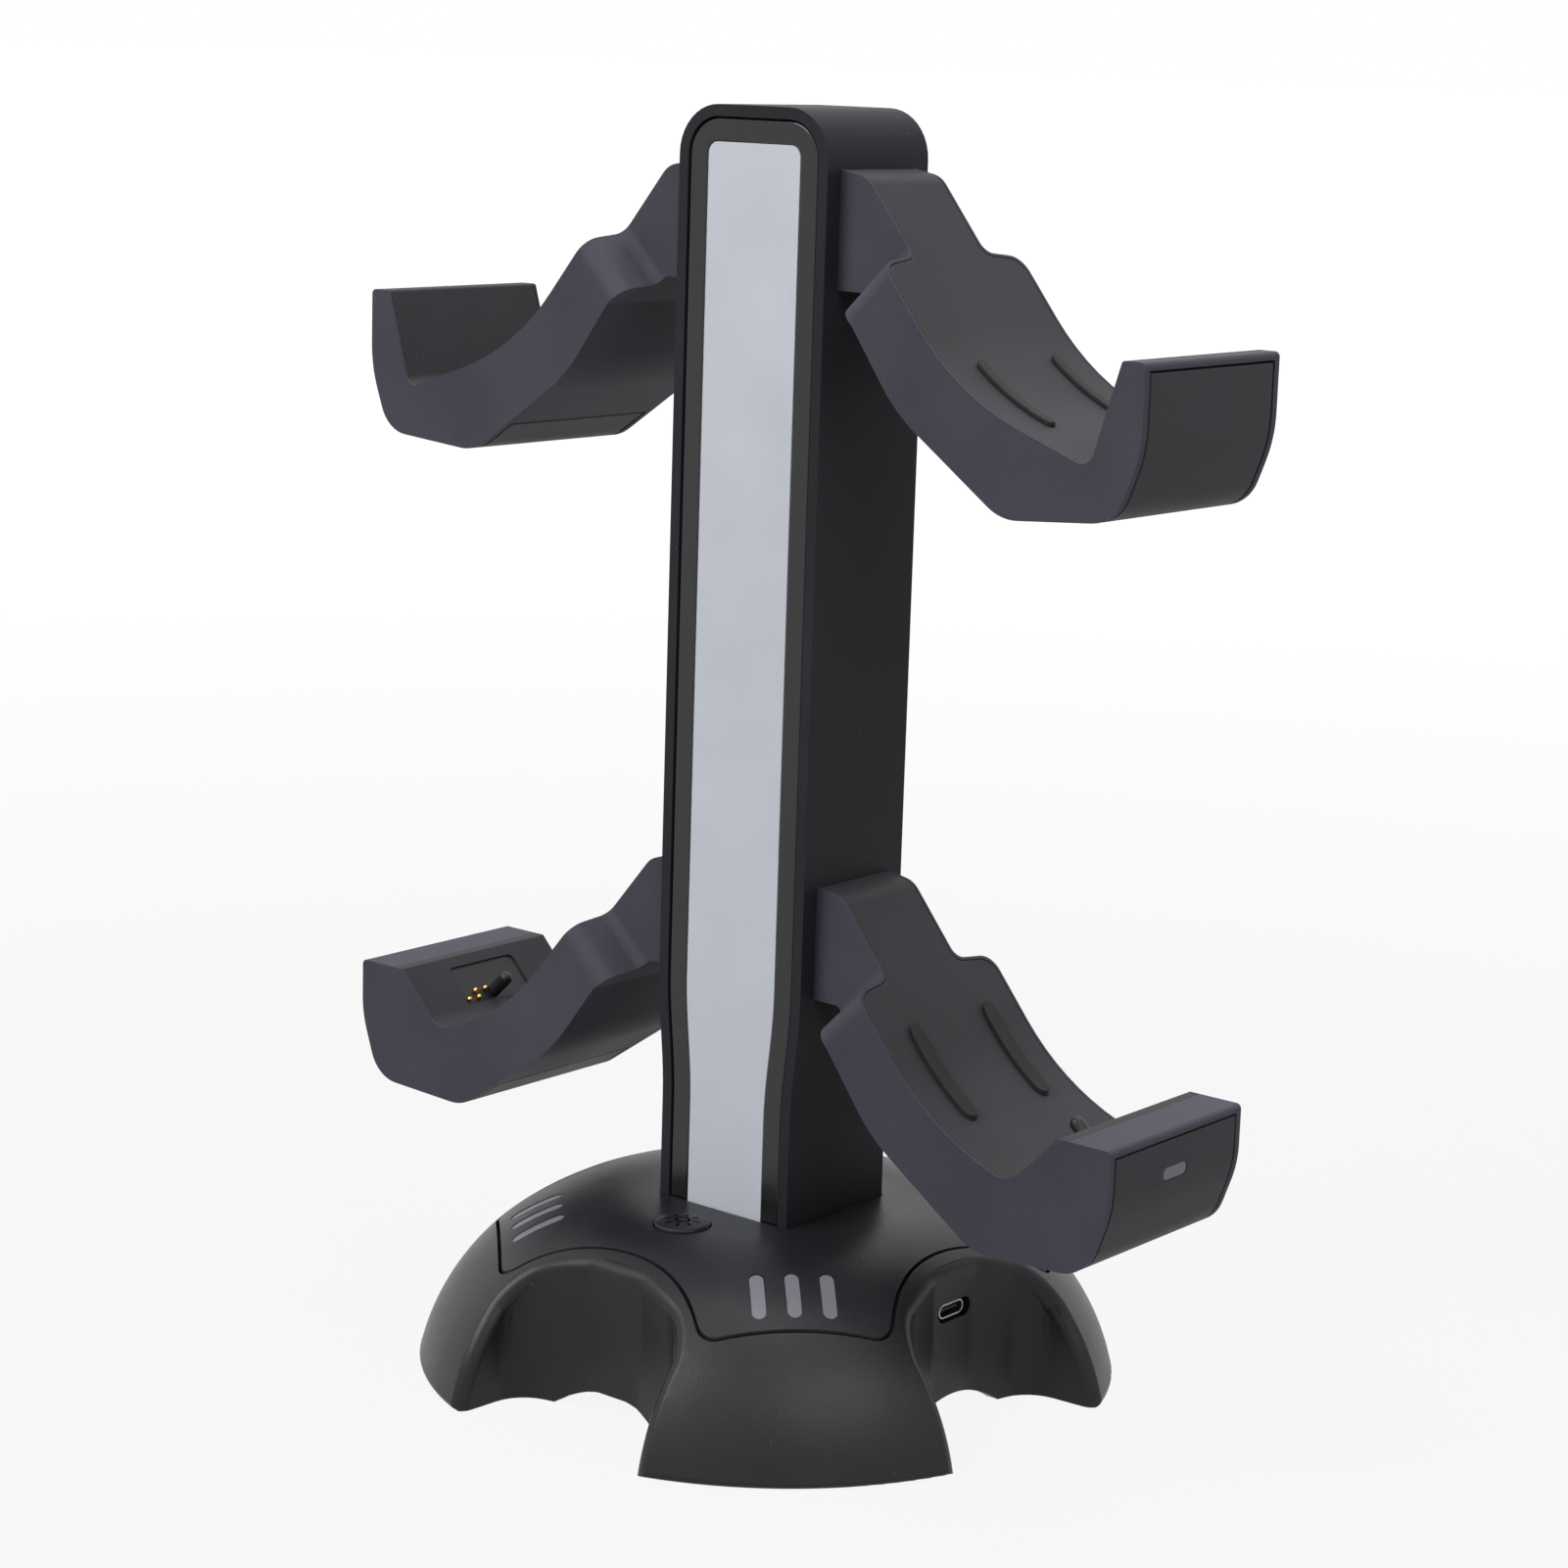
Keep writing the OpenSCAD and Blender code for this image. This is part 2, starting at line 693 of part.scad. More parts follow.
module contact_plate() {
    color(black_colour)
    on_hook_face()
        difference() {
            union() {
                plate_body(0, -plate_recess, plate_recess + plate_t);
                contact_block(0);
                translate([peg_x, peg_y, -plate_recess - fit])
                    cylinder(r = peg_r, h = peg_h + plate_recess + fit - peg_r, $fn = smooth);
                translate([peg_x, peg_y, peg_h - peg_r])
                    sphere(r = peg_r, $fn = smooth);
            }
            for (p = pin_spots) {
                translate([p[0], p[1], barrel_top - cut])
                    cylinder(r = neck_r, h = plate_t + 2 * cut, $fn = smooth);
                translate([p[0], p[1], barrel_top - barrel_l - cut])
                    cylinder(r = barrel_out, h = barrel_l + cut, $fn = smooth);
            }
        }
}

module contact_barrels() {
    color(gold_colour)
    on_hook_face()
        for (p = pin_spots)
            translate([p[0], p[1], barrel_top - barrel_l])
                difference() {
                    cylinder(r = barrel_out - 0.02, h = barrel_l, $fn = smooth);
                    translate([0, 0, barrel_roof])
                        cylinder(r = barrel_in, h = barrel_l - 2 * barrel_roof, $fn = smooth);
                    translate([0, 0, barrel_roof])
                        cylinder(r = neck_r, h = barrel_l, $fn = smooth);
                }
}

module contact_pin(i) {
    p = pin_spots[i];
    shoulder = barrel_top - barrel_roof - 0.05;
    tip = pin_out - plate_recess;
    color(gold_colour)
    on_hook_face()
        translate([p[0], p[1], 0])
            rotate_extrude($fn = smooth)
                polygon(concat(
                    [[0, shoulder - plunger_l], [plunger_r, shoulder - plunger_l], [plunger_r, shoulder],
                        [pin_r, shoulder]],
                    [for (a = [0:15:90]) [pin_r * cos(a), tip - pin_r + pin_r * sin(a)]]
                ));
}

module contact_board() {
    color(board_colour)
    on_hook_face()
        translate([well_board_x + fit, well_board_y + fit, barrel_top - barrel_l - board_t])
            cube([well_board_l, well_board_w, board_t]);
}

status_z = hook_foot_low[1] + 3.2;
status_w = 9;
status_h = 3;
module status_slot(grow) {
    r = status_h / 2 + grow;
    span = (status_w - status_h) / 2;
    rotate([0, 90, 0])
        union() {
            translate([-r, -span, 0]) cube([2 * r, 2 * span, far]);
            for (s = [-span, span])
                translate([0, s, 0]) cylinder(r = r, h = far, $fn = smooth);
        }
}
module status_bore(grow) {
    depth = cover_t + 2.4 + grow;
    translate([arm_low_reach - depth, 0, status_z]) status_slot(grow);
}
module status_window() {
    color(window_colour)
    intersection() {
        translate([arm_low_reach - cover_t - 2.4, 0, status_z]) status_slot(-fit);
        along_y(-far, far) arm_outline(false, 0.15);
    }
}

// Puts an arm's piece on its side of the column, at its height
module placed(upper, side) {
    mirror([side < 0 ? 1 : 0, 0, 0])
        translate([0, 0, arm_z(upper)])
            children();
}

module screw(length) {
    cylinder(r = screw_r, h = length, $fn = smooth);
    translate([0, 0, -screw_head_t])
        difference() {
            cylinder(r = screw_head_r, h = screw_head_t, $fn = smooth);
            translate([0, 0, -cut])
                cylinder(r = 1.3, h = cut + 0.9, $fn = 6);
        }
}

module arm_screws() {
    wall = col_rim + chamber_step + board_step;
    color(steel_colour)
    for (side = [-1, 1], top = [arm_up_z, arm_low_z], z = arm_screw_z)
        translate([side * (root_x - wall), arm_screw_y, top + z])
            rotate([0, side * 90, 0])
                screw(arm_screw_l);
}

// Dome of the base: a flat top and one arc down to the floor, moved inwards by an inset
function dome_half(inset, z) = dome_x + sqrt(pow(dome_r - inset, 2) - pow(z - dome_z, 2));
module dome_half_outline(inset) {
    translate([dome_x, dome_z]) circle(r = dome_r - inset, $fn = 128);
    translate([0, dome_z - far]) square([dome_x, base_top - inset - dome_z + far]);
}
module dome(inset, low) {
    rotate_extrude($fn = 96)
        intersection() {
            dome_half_outline(inset);
            translate([0, low]) square([far, far]);
        }
}
// The outer dome, with its lower edge rounded
module dome_outer() {
    low = base_lift + edge_r;
    rim = dome_half(0, low);
    rotate_extrude($fn = 96)
        union() {
            intersection() {
                dome_half_outline(0);
                translate([0, low]) square([far, far]);
            }
            translate([0, base_lift]) square([rim - edge_r, edge_r + fit]);
            translate([rim - edge_r, low]) circle(r = edge_r, $fn = 64);
        }
}

// Plan of one scoop, on the -Y side, grown by an amount
module scoop_plan(grow) {
    back = scoop_back - grow;
    half = scoop_half + grow;
    mouth = half + 2.6;
    r = scoop_r + grow;
    bulge = 0.3 * half;
    round_plan([
        [-mouth, -base_r - 14, 0], [-half, -back - 4.2, r], [-bulge, -back, 0],
        [bulge, -back, 0], [half, -back - 4.2, r], [mouth, -base_r - 14, 0]
    ]);
}
module four_scoops(grow) {
    for (turn_angle = [0:90:270])
        rotate(turn_angle) scoop_plan(grow);
}
module scoops(grow, low, high) {
    translate([0, 0, low])
        linear_extrude(high - low)
            four_scoops(grow);
}

// Plan of the top cover: four lobes over the feet, hollow edges beside the scoops
lobe_x = 30;
lobe_r = 5;
waist_r = 46.5;
function lobe_corners(reach) =
    let (far_edge = reach * sqrt(2))
    let (lobe = [lobe_x, far_edge - lobe_x], dip = lid_waist - 10)
    [[lobe[0], -lobe[1], lobe_r], [0, -dip, waist_r], [-lobe[0], -lobe[1], lobe_r],
        [-lobe[1], -lobe[0], lobe_r], [-dip, 0, waist_r], [-lobe[1], lobe[0], lobe_r],
        [-lobe[0], lobe[1], lobe_r], [0, dip, waist_r], [lobe[0], lobe[1], lobe_r],
        [lobe[1], lobe[0], lobe_r], [dip, 0, waist_r], [lobe[1], -lobe[0], lobe_r]];
module lid_plan(inset) {
    c = lobe_corners(lid_reach);
    round_plan(inset == 0 ? c : shifted(c, same(c, inset)));
}
module lid_prism(inset) {
    linear_extrude(far) lid_plan(inset);
}

module arches() {
    r = (arch_half * arch_half + arch_h * arch_h) / (2 * arch_h);
    for (turn_angle = [0:90:270])
        rotate([0, 0, turn_angle])
            translate([0, -scoop_back + 2 * base_wall, arch_h - r])
                rotate([90, 0, 0])
                    cylinder(r = r, h = 4 * base_wall, $fn = 96);
}

module port_opening() {
    r = port_open_h / 2;
    span = port_open_w / 2 - r;
    rotate([0, 90, 0])
        union() {
            translate([-r, -span, 0]) cube([2 * r, 2 * span, 4 * base_wall]);
            for (s = [-span, span])
                translate([0, s, 0]) cylinder(r = r, h = 4 * base_wall, $fn = smooth);
        }
}
port_turns = [0, 90, 180];

// The shell: a domed skin with a seat for the top cover, and a wall round each scoop
module base_shell() {
    seat_depth = lid_t + seat_gap;
    color(shell_colour)
    union() {
        difference() {
            dome_outer();
            dome(base_wall, -cut);
            scoops(0, -cut, far);
            difference() {
                lid_prism(0);
                dome(seat_depth, -cut);
            }
            lid_prism(ledge_w);
        }
        difference() {
            intersection() {
                scoop_walls();
                dome(base_wall / 2, base_lift);
            }
            arches();
            for (turn_angle = port_turns)
                rotate([0, 0, turn_angle])
                    translate([scoop_back - 2 * base_wall, 0, port_z]) port_opening();
        }
        shell_bosses();
    }
}
module scoop_walls() {
    linear_extrude(base_top)
        difference() {
            four_scoops(base_wall);
            four_scoops(0);
        }
}

module at_feet(distance) {
    for (a = [45:90:315])
        rotate([0, 0, a])
            translate([distance, 0, 0])
                children();
}

module shell_bosses() {
    intersection() {
        at_feet(shell_screw_d)
            translate([0, 0, col_foot_z])
                difference() {
                    cylinder(r = 3.4, h = far, $fn = smooth);
                    translate([0, 0, -cut]) cylinder(r = pilot_r, h = 9, $fn = smooth);
                }
        dome((lid_t + seat_gap + base_wall) / 2, 0);
    }
}

module window_slots(grow, z0) {
    r = window_w / 2 + grow;
    at_feet(0)
        for (k = [-1:1])
            translate([0, k * window_pitch, z0])
                union() {
                    translate([window_in + window_w / 2, -r, 0])
                        cube([window_out - window_in - window_w, 2 * r, far]);
                    for (x = [window_in + window_w / 2, window_out - window_w / 2])
                        translate([x, 0, 0]) cylinder(r = r, h = far, $fn = smooth);
                }
}

module base_cover() {
    color(shell_colour)
    difference() {
        intersection() {
            dome(0, 0);
            lid_prism(lid_groove);
        }
        dome(lid_t, -cut);
        translate([-col_foot_w / 2 - col_fit, front_y - col_fit, 0])
            cube([col_foot_w + 2 * col_fit, col_d + 2 * col_fit, far]);
        window_slots(0, 0);
        translate([0, -button_y, 0])
            cylinder(r = button_r + button_gap, h = far, $fn = smooth);
    }
}

// Light pipes: three windows on one flange under the cover, and a leg over the board
module base_windows() {
    flange = 1;
    color(window_colour)
    union() {
        intersection() {
            difference() {
                dome(0.2, 0);
                dome(lid_t + flange / 2, -cut);
            }
            window_slots(-fit, 0);
        }
        intersection() {
            difference() {
                dome(lid_t, 0);
                dome(lid_t + flange, -cut);
            }
            at_feet(0)
                translate([window_in, -window_pitch - 2, 0])
                    cube([shell_screw_d - 4 - window_in, 2 * window_pitch + 4, far]);
        }
    }
}

module light_button() {
    z0 = base_top - lid_t - flange_t - flange_drop;
    top = base_top + button_out;
    crown = 0.5;
    stem_end = board_top + switch_h + 1;
    color(shell_colour)
    translate([0, -button_y, 0])
        rotate_extrude($fn = smooth)
            polygon(concat(
                [[0, stem_end], [stem_r, stem_end], [stem_r, z0], [flange_r, z0], [flange_r, z0 + flange_t],
                    [button_r, z0 + flange_t], [button_r, top - crown - 0.5], [button_r - 0.15, top - crown - 0.15]],
                [for (k = [1:6]) let (x = (button_r - 0.5) * (1 - (k - 1) / 5))
                    [x, top - crown * x * x / (button_r * button_r)]]
            ));
}

module button_switch() {
    color(steel_colour)
    translate([0, -button_y, board_top])
        union() {
            translate([-switch_w / 2, -switch_w / 2, 0]) cube([switch_w, switch_w, switch_h - 1]);
            cylinder(r = 1.75, h = switch_h, $fn = smooth);
        }
}

module bottom_plate() {
    r = dome_half(base_wall, plate_floor_z + plate_floor_t) - loose;
    color(black_colour)
    difference() {
        union() {
            translate([0, 0, plate_floor_z])
                cylinder(r = r, h = plate_floor_t, $fn = 96);
            at_feet(post_d)
                translate([0, 0, plate_floor_z])
                    cylinder(r = 3, h = board_top - board_t - plate_floor_z, $fn = smooth);
        }
        scoops(base_wall + loose, -cut, far);
        at_feet(post_d)
            translate([0, 0, board_top - board_t - 8]) cylinder(r = pilot_r, h = 8 + cut, $fn = smooth);
        at_feet(shell_screw_d)
            translate([0, 0, -cut]) cylinder(r = screw_hole_r, h = far, $fn = smooth);
        at_feet(foot_d)
            translate([0, 0, plate_floor_z - cut])
                cylinder(r = foot_r + fit, h = cut + foot_recess, $fn = smooth);
        for (side = [-1, 1])
            translate([side * column_screw_x, column_screw_y, -cut])
                cylinder(r = screw_hole_r, h = far, $fn = smooth);
    }
}

module rubber_feet() {
    color(rubber_colour)
    at_feet(foot_d)
        cylinder(r = foot_r, h = plate_floor_z + foot_recess, $fn = smooth);
}

module main_board() {
    hole_x = col_foot_w + 2;
    hole_y = col_d + 2;
    color(board_colour)
    translate([0, 0, board_top - board_t])
        difference() {
            cylinder(r = board_r, h = board_t, $fn = 96);
            translate([-hole_x / 2, -hole_y / 2, -cut]) cube([hole_x, hole_y, board_t + 2 * cut]);
            at_feet(post_d)
                translate([0, 0, -cut]) cylinder(r = screw_hole_r, h = board_t + 2 * cut, $fn = smooth);
        }
}

module port_ring(w, h, length) {
    r = h / 2;
    span = w / 2 - r;
    rotate([0, 90, 0])
        union() {
            translate([-r, -span, 0]) cube([2 * r, 2 * span, length]);
            for (s = [-span, span])
                translate([0, s, 0]) cylinder(r = r, h = length, $fn = smooth);
        }
}
port_x0 = scoop_back - 0.9 - port_l;
module port_shells() {
    color(steel_colour)
    for (turn_angle = port_turns)
        rotate([0, 0, turn_angle])
            translate([port_x0, 0, port_z])
                difference() {
                    port_ring(port_w, port_h, port_l);
                    translate([port_wall, 0, 0])
                        port_ring(port_w - 2 * port_wall, port_h - 2 * port_wall, port_l);
                }
}
module port_tongues() {
    color(black_colour)
    for (turn_angle = port_turns)
        rotate([0, 0, turn_angle])
            translate([port_x0 + port_wall, 0, port_z])
                union() {
                    port_ring(port_w - 2 * port_wall - 0.02, port_h - 2 * port_wall - 0.02, 1.6);
                    translate([0, -3.3, -0.35]) cube([port_l - 1.2, 6.6, 0.7]);
                }
}

module steel_weight() {
    color(steel_colour)
    translate([0, 0, col_foot_z])
        difference() {
            cylinder(r = weight_out, h = weight_h, $fn = 96);
            translate([0, 0, -cut]) cylinder(r = weight_in, h = weight_h + 2 * cut, $fn = 96);
        }
}

module column_screws() {
    color(steel_colour)
    for (side = [-1, 1])
        translate([side * column_screw_x, column_screw_y, plate_floor_z])
            screw(plate_floor_t + col_floor_t - 0.5);
}
module base_screws() {
    color(steel_colour)
    at_feet(shell_screw_d)
        translate([0, 0, plate_floor_z]) screw(plate_floor_t + 7);
}
module board_screws() {
    color(steel_colour)
    at_feet(post_d)
        translate([0, 0, board_top])
            rotate([180, 0, 0]) screw(board_t + 7);
}

column_shell();
light_bezel();
light_diffuser();
light_board();
light_chips();
placed(true, 1) arm_housing(true);  // upper_right_arm
placed(true, 1) arm_seat(true);  // upper_right_seat
placed(true, 1) arm_cover(true);  // upper_right_cover
placed(true, 1) color(rubber_colour) strip(true, along(true, strip_up_start), along(true, strip_up_end), strip_up_w);  // upper_right_strips
placed(true, -1) arm_housing(true);  // upper_left_arm
placed(true, -1) arm_seat(true);  // upper_left_seat
placed(true, -1) arm_cover(true);  // upper_left_cover
placed(true, -1) color(rubber_colour) strip(true, along(true, strip_up_start), along(true, strip_up_end), strip_up_w);  // upper_left_strips
placed(false, 1) arm_housing(false);  // lower_right_arm
placed(false, 1) arm_seat(false);  // lower_right_seat
placed(false, 1) arm_cover(false);  // lower_right_cover
placed(false, 1) color(rubber_colour) strip(false, along(false, pad_start), along(false, pad_end), pad_w);  // lower_right_pads
placed(false, 1) contact_plate();  // lower_right_contact_plate
placed(false, 1) contact_barrels();  // lower_right_contact_barrels
placed(false, 1) contact_board();  // lower_right_contact_board
placed(false, 1) status_window();  // lower_right_status_window
placed(false, 1) contact_pin(0);  // lower_right_pin_1
placed(false, 1) contact_pin(1);  // lower_right_pin_2
placed(false, 1) contact_pin(2);  // lower_right_pin_3
placed(false, 1) contact_pin(3);  // lower_right_pin_4
placed(false, -1) arm_housing(false);  // lower_left_arm
placed(false, -1) arm_seat(false);  // lower_left_seat
placed(false, -1) arm_cover(false);  // lower_left_cover
placed(false, -1) color(rubber_colour) strip(false, along(false, pad_start), along(false, pad_end), pad_w);  // lower_left_pads
placed(false, -1) contact_plate();  // lower_left_contact_plate
placed(false, -1) contact_barrels();  // lower_left_contact_barrels
placed(false, -1) contact_board();  // lower_left_contact_board
placed(false, -1) status_window();  // lower_left_status_window
placed(false, -1) contact_pin(0);  // lower_left_pin_1
placed(false, -1) contact_pin(1);  // lower_left_pin_2
placed(false, -1) contact_pin(2);  // lower_left_pin_3
placed(false, -1) contact_pin(3);  // lower_left_pin_4
base_shell();
base_cover();
base_windows();
light_button();
button_switch();
bottom_plate();
rubber_feet();
main_board();
port_shells();
port_tongues();
steel_weight();
arm_screws();
column_screws();
base_screws();
board_screws();
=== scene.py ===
"""Looks of a charging stand for a headset and controllers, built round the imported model.

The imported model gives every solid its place. This script gives the moulded pieces
their softened edges, adds the small pieces that only show close up, and dresses
every surface in a procedural finish.
"""

import json
import logging
import math
from dataclasses import dataclass, field
from enum import Enum

import bmesh
import bpy
import numpy as np
from mathutils import Matrix, Vector


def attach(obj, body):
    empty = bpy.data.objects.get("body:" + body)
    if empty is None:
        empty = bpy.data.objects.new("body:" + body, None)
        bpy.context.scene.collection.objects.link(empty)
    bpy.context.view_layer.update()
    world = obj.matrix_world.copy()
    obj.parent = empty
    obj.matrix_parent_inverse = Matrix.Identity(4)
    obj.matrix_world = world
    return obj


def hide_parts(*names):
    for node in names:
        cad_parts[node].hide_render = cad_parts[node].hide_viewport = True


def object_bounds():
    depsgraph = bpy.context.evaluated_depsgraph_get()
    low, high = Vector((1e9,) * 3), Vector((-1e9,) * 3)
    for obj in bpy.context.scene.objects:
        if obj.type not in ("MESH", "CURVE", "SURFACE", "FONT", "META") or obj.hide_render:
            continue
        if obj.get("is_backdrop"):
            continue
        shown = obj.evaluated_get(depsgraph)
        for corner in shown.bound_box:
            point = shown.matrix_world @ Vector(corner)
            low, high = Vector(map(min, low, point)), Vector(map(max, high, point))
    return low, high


LOG = logging.getLogger("charging_stand")
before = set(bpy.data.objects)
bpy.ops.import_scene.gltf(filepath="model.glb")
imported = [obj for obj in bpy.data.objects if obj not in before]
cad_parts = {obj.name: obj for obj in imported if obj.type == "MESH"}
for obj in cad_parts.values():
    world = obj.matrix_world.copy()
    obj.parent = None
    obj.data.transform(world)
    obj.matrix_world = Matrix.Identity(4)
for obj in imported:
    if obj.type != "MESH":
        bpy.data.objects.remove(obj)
CAD_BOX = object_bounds()

MM = 0.001
SCENE = bpy.context.scene


def plain_box(box: object) -> object:
    """Turns a box of vectors into plain lists of numbers, whatever its nesting."""
    if isinstance(box, (int, float)):
        return float(box)
    if isinstance(box, dict):
        return {key: plain_box(value) for key, value in box.items()}
    return [plain_box(value) for value in box]


def linear(srgb: tuple[float, float, float]) -> tuple[float, float, float, float]:
    """Converts a colour from 0 to 255 screen values to linear light.

    Args:
        srgb: Red, green and blue as seen on screen, 0 to 255.

    Returns:
        The linear colour with an alpha of 1.
    """
    values = np.asarray(srgb, dtype=float) / 255.0
    low = values / 12.92
    high = ((values + 0.055) / 1.055) ** 2.4
    out = np.where(values <= 0.04045, low, high)
    return (float(out[0]), float(out[1]), float(out[2]), 1.0)


class Wire:
    """A node socket that takes part in Python expressions."""

    def __init__(self, bench: "Bench", socket: bpy.types.NodeSocket) -> None:
        """Keeps the socket and the bench that its nodes are made on."""
        self.bench = bench
        self.socket = socket

    def _math(self, operation: str, *values: object) -> "Wire":
        """Adds one Math node for an operation on the values."""
        return self.bench.add("ShaderNodeMath", {"operation": operation}, list(values))

    def __add__(self, other: object) -> "Wire":
        """Sum."""
        return self._math("ADD", self, other)

    __radd__ = __add__

    def __sub__(self, other: object) -> "Wire":
        """Difference."""
        return self._math("SUBTRACT", self, other)

    def __rsub__(self, other: object) -> "Wire":
        """Difference, the other way round."""
        return self._math("SUBTRACT", other, self)

    def __mul__(self, other: object) -> "Wire":
        """Product."""
        return self._math("MULTIPLY", self, other)

    __rmul__ = __mul__

    def __lt__(self, other: object) -> "Wire":
        """One where this is less than the other, else nought."""
        return self._math("LESS_THAN", self, other)

    def __gt__(self, other: object) -> "Wire":
        """One where this is more than the other, else nought."""
        return self._math("GREATER_THAN", self, other)

    def clamped(self) -> "Wire":
        """The value kept between nought and one."""
        return self.bench.add("ShaderNodeClamp", {}, [self, 0.0, 1.0])

    def ramp(self, low: float, high: float, to_low: float = 0.0, to_high: float = 1.0) -> "Wire":
        """Maps the span from low to high on to the span from to_low to to_high.

        Args:
            low: Input at the span's start.
            high: Input at the span's end.
            to_low: Output at the start.
            to_high: Output at the end.

        Returns:
            The mapped and clamped value.
        """
        return self.bench.add("ShaderNodeMapRange", {}, [self, low, high, to_low, to_high])


class Bench:
    """Builds the node tree of one material."""

    def __init__(self, name: str) -> None:
        """Starts a material of that name with a Principled shader.

        Args:
            name: The material's name.
        """
        self.material = bpy.data.materials.new(name)
        self.material.use_nodes = True
        self.nodes = self.material.node_tree.nodes
        self.links = self.material.node_tree.links
        self.shader = self.nodes["Principled BSDF"]

    def plug(self, socket: bpy.types.NodeSocket, value: object) -> None:
        """Links a wire to a socket, or sets the socket's value."""
        if isinstance(value, Wire):
            self.links.new(value.socket, socket)
        elif value is not None:
            socket.default_value = value

    def add(self, kind: str, settings: dict, values: object, out: object = 0) -> Wire:
        """Adds one node.

        Args:
            kind: Blender's name for the node's type.
            settings: Attributes that are set first.
            values: Socket values or wires, as a list in order or a dict by name.
            out: The output to hand back, by number or name.

        Returns:
            The chosen output as a wire.
        """
        node = self.nodes.new(kind)
        for key, value in settings.items():
            setattr(node, key, value)
        pairs = values.items() if isinstance(values, dict) else enumerate(values)
        for key, value in pairs:
            self.plug(node.inputs[key], value)
        return Wire(self, node.outputs[out])

    def place(self) -> Wire:
        """The point's place in the object's own frame, in metres."""
        return self.add("ShaderNodeTexCoord", {}, {}, "Object")

    def stretched(self, scale: tuple[float, float, float], turn: tuple[float, float, float] = (0, 0, 0)) -> Wire:
        """The place, turned and scaled, for grain that runs one way."""
        return self.add("ShaderNodeMapping", {}, {"Vector": self.place(), "Scale": scale, "Rotation": turn})

    def noise(self, feature: float, detail: float = 2.0, roughness: float = 0.5, at: Wire | None = None) -> Wire:
        """Soft noise whose blobs are about as large as feature.

        Args:
            feature: Size of a blob in metres.
            detail: Octaves.
            roughness: Weight of the finer octaves.
            at: Where to read it, or the object's place.

        Returns:
            Noise from nought to one.
        """
        sockets = {"Vector": at or self.place(), "Scale": 1.0 / feature, "Detail": detail, "Roughness": roughness}
        return self.add("ShaderNodeTexNoise", {}, sockets)

    def cells(self, spacing: float, out: str = "Distance") -> Wire:
        """Voronoi cells of about that spacing in metres."""
        return self.add("ShaderNodeTexVoronoi", {}, {"Vector": self.place(), "Scale": 1.0 / spacing}, out)

    def mixed(self, factor: object, a: object, b: object) -> Wire:
        """Mixes two colours."""
        return self.add("ShaderNodeMix", {"data_type": "RGBA"}, {0: factor, 6: a, 7: b}, 2)

    def bumped(self, height: Wire, strength: float, distance: float) -> Wire:
        """A normal bent by a height, which is worth distance metres at one."""
        return self.add("ShaderNodeBump", {}, {"Strength": strength, "Distance": distance, "Height": height})

    def finish(self, **sockets: object) -> bpy.types.Material:
        """Sets or links the shader's sockets and hands back the material."""
        for name, value in sockets.items():
            self.plug(self.shader.inputs[name.replace("_", " ")], value)
        return self.material


@dataclass(frozen=True)
class Moulded:
    """Injection moulded plastic with a spark eroded grain."""

    name: str
    colour: tuple[float, float, float]
    roughness: float = 0.5
    level: float = 0.35
    grain: float = 0.00035
    depth: float = 0.000035
    mottle: float = 0.16
    dust: float = 0.5

    def build(self) -> bpy.types.Material:
        """Builds the material: grain, faint flow mottling, and a little dust."""
        bench = Bench(self.name)
        base = linear(self.colour)
        lighter = tuple(min(1.0, v * (1 + self.mottle)) for v in base[:3]) + (1.0,)
        darker = tuple(v * (1 - self.mottle) for v in base[:3]) + (1.0,)
        clouds = bench.noise(0.03, 3.0)
        grain = bench.noise(self.grain, 3.0, 0.6)
        colour = bench.mixed(clouds.ramp(0.3, 0.7), darker, lighter)
        fleck = grain.ramp(0.55, 0.8) * 0.35
        colour = bench.mixed(fleck, colour, tuple(min(1.0, v * 1.8) for v in base[:3]) + (1.0,))
        specks = (bench.cells(0.0035) < 0.035) * (bench.noise(0.012) > 0.56) * self.dust
        colour = bench.mixed(specks, colour, linear((150, 150, 152)))
        rough = clouds.ramp(0.3, 0.7, self.roughness - 0.04, self.roughness + 0.04) + (grain - 0.5) * 0.12
        normal = bench.bumped(grain, 0.8, self.depth)
        return bench.finish(Base_Color=colour, Roughness=rough, Normal=normal, Specular_IOR_Level=self.level)


@dataclass(frozen=True)
class Milky:
    """Translucent plastic that spreads the light from behind it."""

    name: str
    colour: tuple[float, float, float]
    roughness: float = 0.38
    level: float = 0.4

    def build(self) -> bpy.types.Material:
        """Builds the material: faint cloudiness and a fine satin skin."""
        bench = Bench(self.name)
        base = linear(self.colour)
        deeper = tuple(v * 0.93 for v in base[:3]) + (1.0,)
        clouds = bench.noise(0.02, 4.0)
        grain = bench.noise(0.0004, 2.0)
        colour = bench.mixed(clouds.ramp(0.3, 0.7), deeper, base)
        rough = clouds.ramp(0.2, 0.8, self.roughness - 0.05, self.roughness + 0.05)
        normal = bench.bumped(grain, 0.4, 0.00001)
        return bench.finish(Base_Color=colour, Roughness=rough, Normal=normal, Specular_IOR_Level=self.level)


